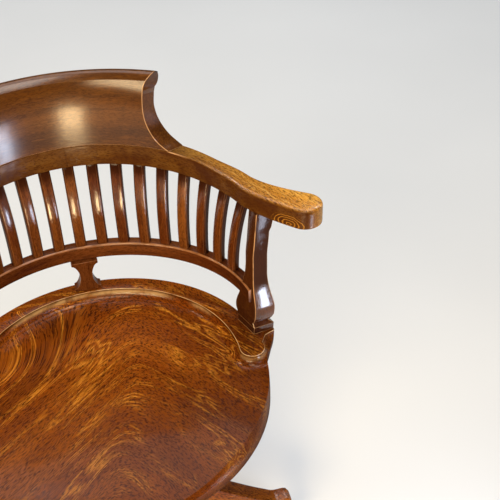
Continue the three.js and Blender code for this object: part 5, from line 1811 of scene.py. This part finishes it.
@dataclass
class Studio:
    """Floor, world, lights and the camera of the photo."""

    floor_size: float = 14.0
    floor_tones: Sequence[str] = ("d0d4d7", "d4d8db")
    world_tone: str = "f2f0ee"
    world_strength: float = 0.06
    camera_place: Vector = field(default_factory=lambda: Vector((-0.025, -0.955, 1.444)))
    yaw: float = 0.255
    pitch: float = 0.671
    roll: float = -0.023
    lens: float = 64.66
    sensor_width: float = 36.0

    def floor(self) -> None:
        """Lay a plain pale floor."""
        form = Form()
        bmesh.ops.create_grid(form.bm, x_segments=1, y_segments=1, size=self.floor_size)
        made = form.to_object("floor")
        g = Graph("pale_floor")
        mottle = g.noise(g.add("ShaderNodeTexCoord", {}).outputs["Object"], 1.5)
        g.feed(Base_Color=g.ramp(mottle, tuple(zip((0.3, 0.7), self.floor_tones))), Roughness=0.8)
        made.data.materials.append(g.material)

    def world(self) -> None:
        """Give the room a faint even light."""
        world = bpy.data.worlds.new("studio")
        world.use_nodes = True
        background = world.node_tree.nodes["Background"]
        background.inputs["Color"].default_value = tone(self.world_tone)
        background.inputs["Strength"].default_value = self.world_strength
        bpy.context.scene.world = world
        bpy.context.scene.view_settings.view_transform = "Standard"

    def camera(self) -> None:
        """Stand the camera where the photo was taken from."""
        data = bpy.data.cameras.new("camera")
        data.lens = self.lens
        data.sensor_width = self.sensor_width
        made = bpy.data.objects.new("camera", data)
        forward = Vector((math.sin(self.yaw) * math.cos(self.pitch),
                          math.cos(self.yaw) * math.cos(self.pitch), -math.sin(self.pitch)))
        level = Vector((math.cos(self.yaw), -math.sin(self.yaw), 0))
        upright = level.cross(forward)
        right = level * math.cos(self.roll) + upright * math.sin(self.roll)
        up = -level * math.sin(self.roll) + upright * math.cos(self.roll)
        turn = Matrix((right, up, -forward)).transposed()
        made.matrix_world = Matrix.Translation(self.camera_place) @ turn.to_4x4()
        bpy.context.scene.collection.objects.link(made)
        bpy.context.scene.camera = made

    def build(self) -> None:
        """Set the floor, world, lights and camera."""
        self.floor()
        self.world()
        for lamp in LAMPS:
            lamp.hang()
        self.camera()


def main() -> None:
    """Build the chair and its studio, and note the sizes."""
    for part in (CarvedSeat(), ArmPosts(), Arms(), Crest(), BackRail(), TiltMechanism(),
                 HeightScrew(), Base(), Castors(), Studio()):
        part.build()
        LOG.info("built %s", type(part).__name__)


if __name__ == "__main__":
    main()
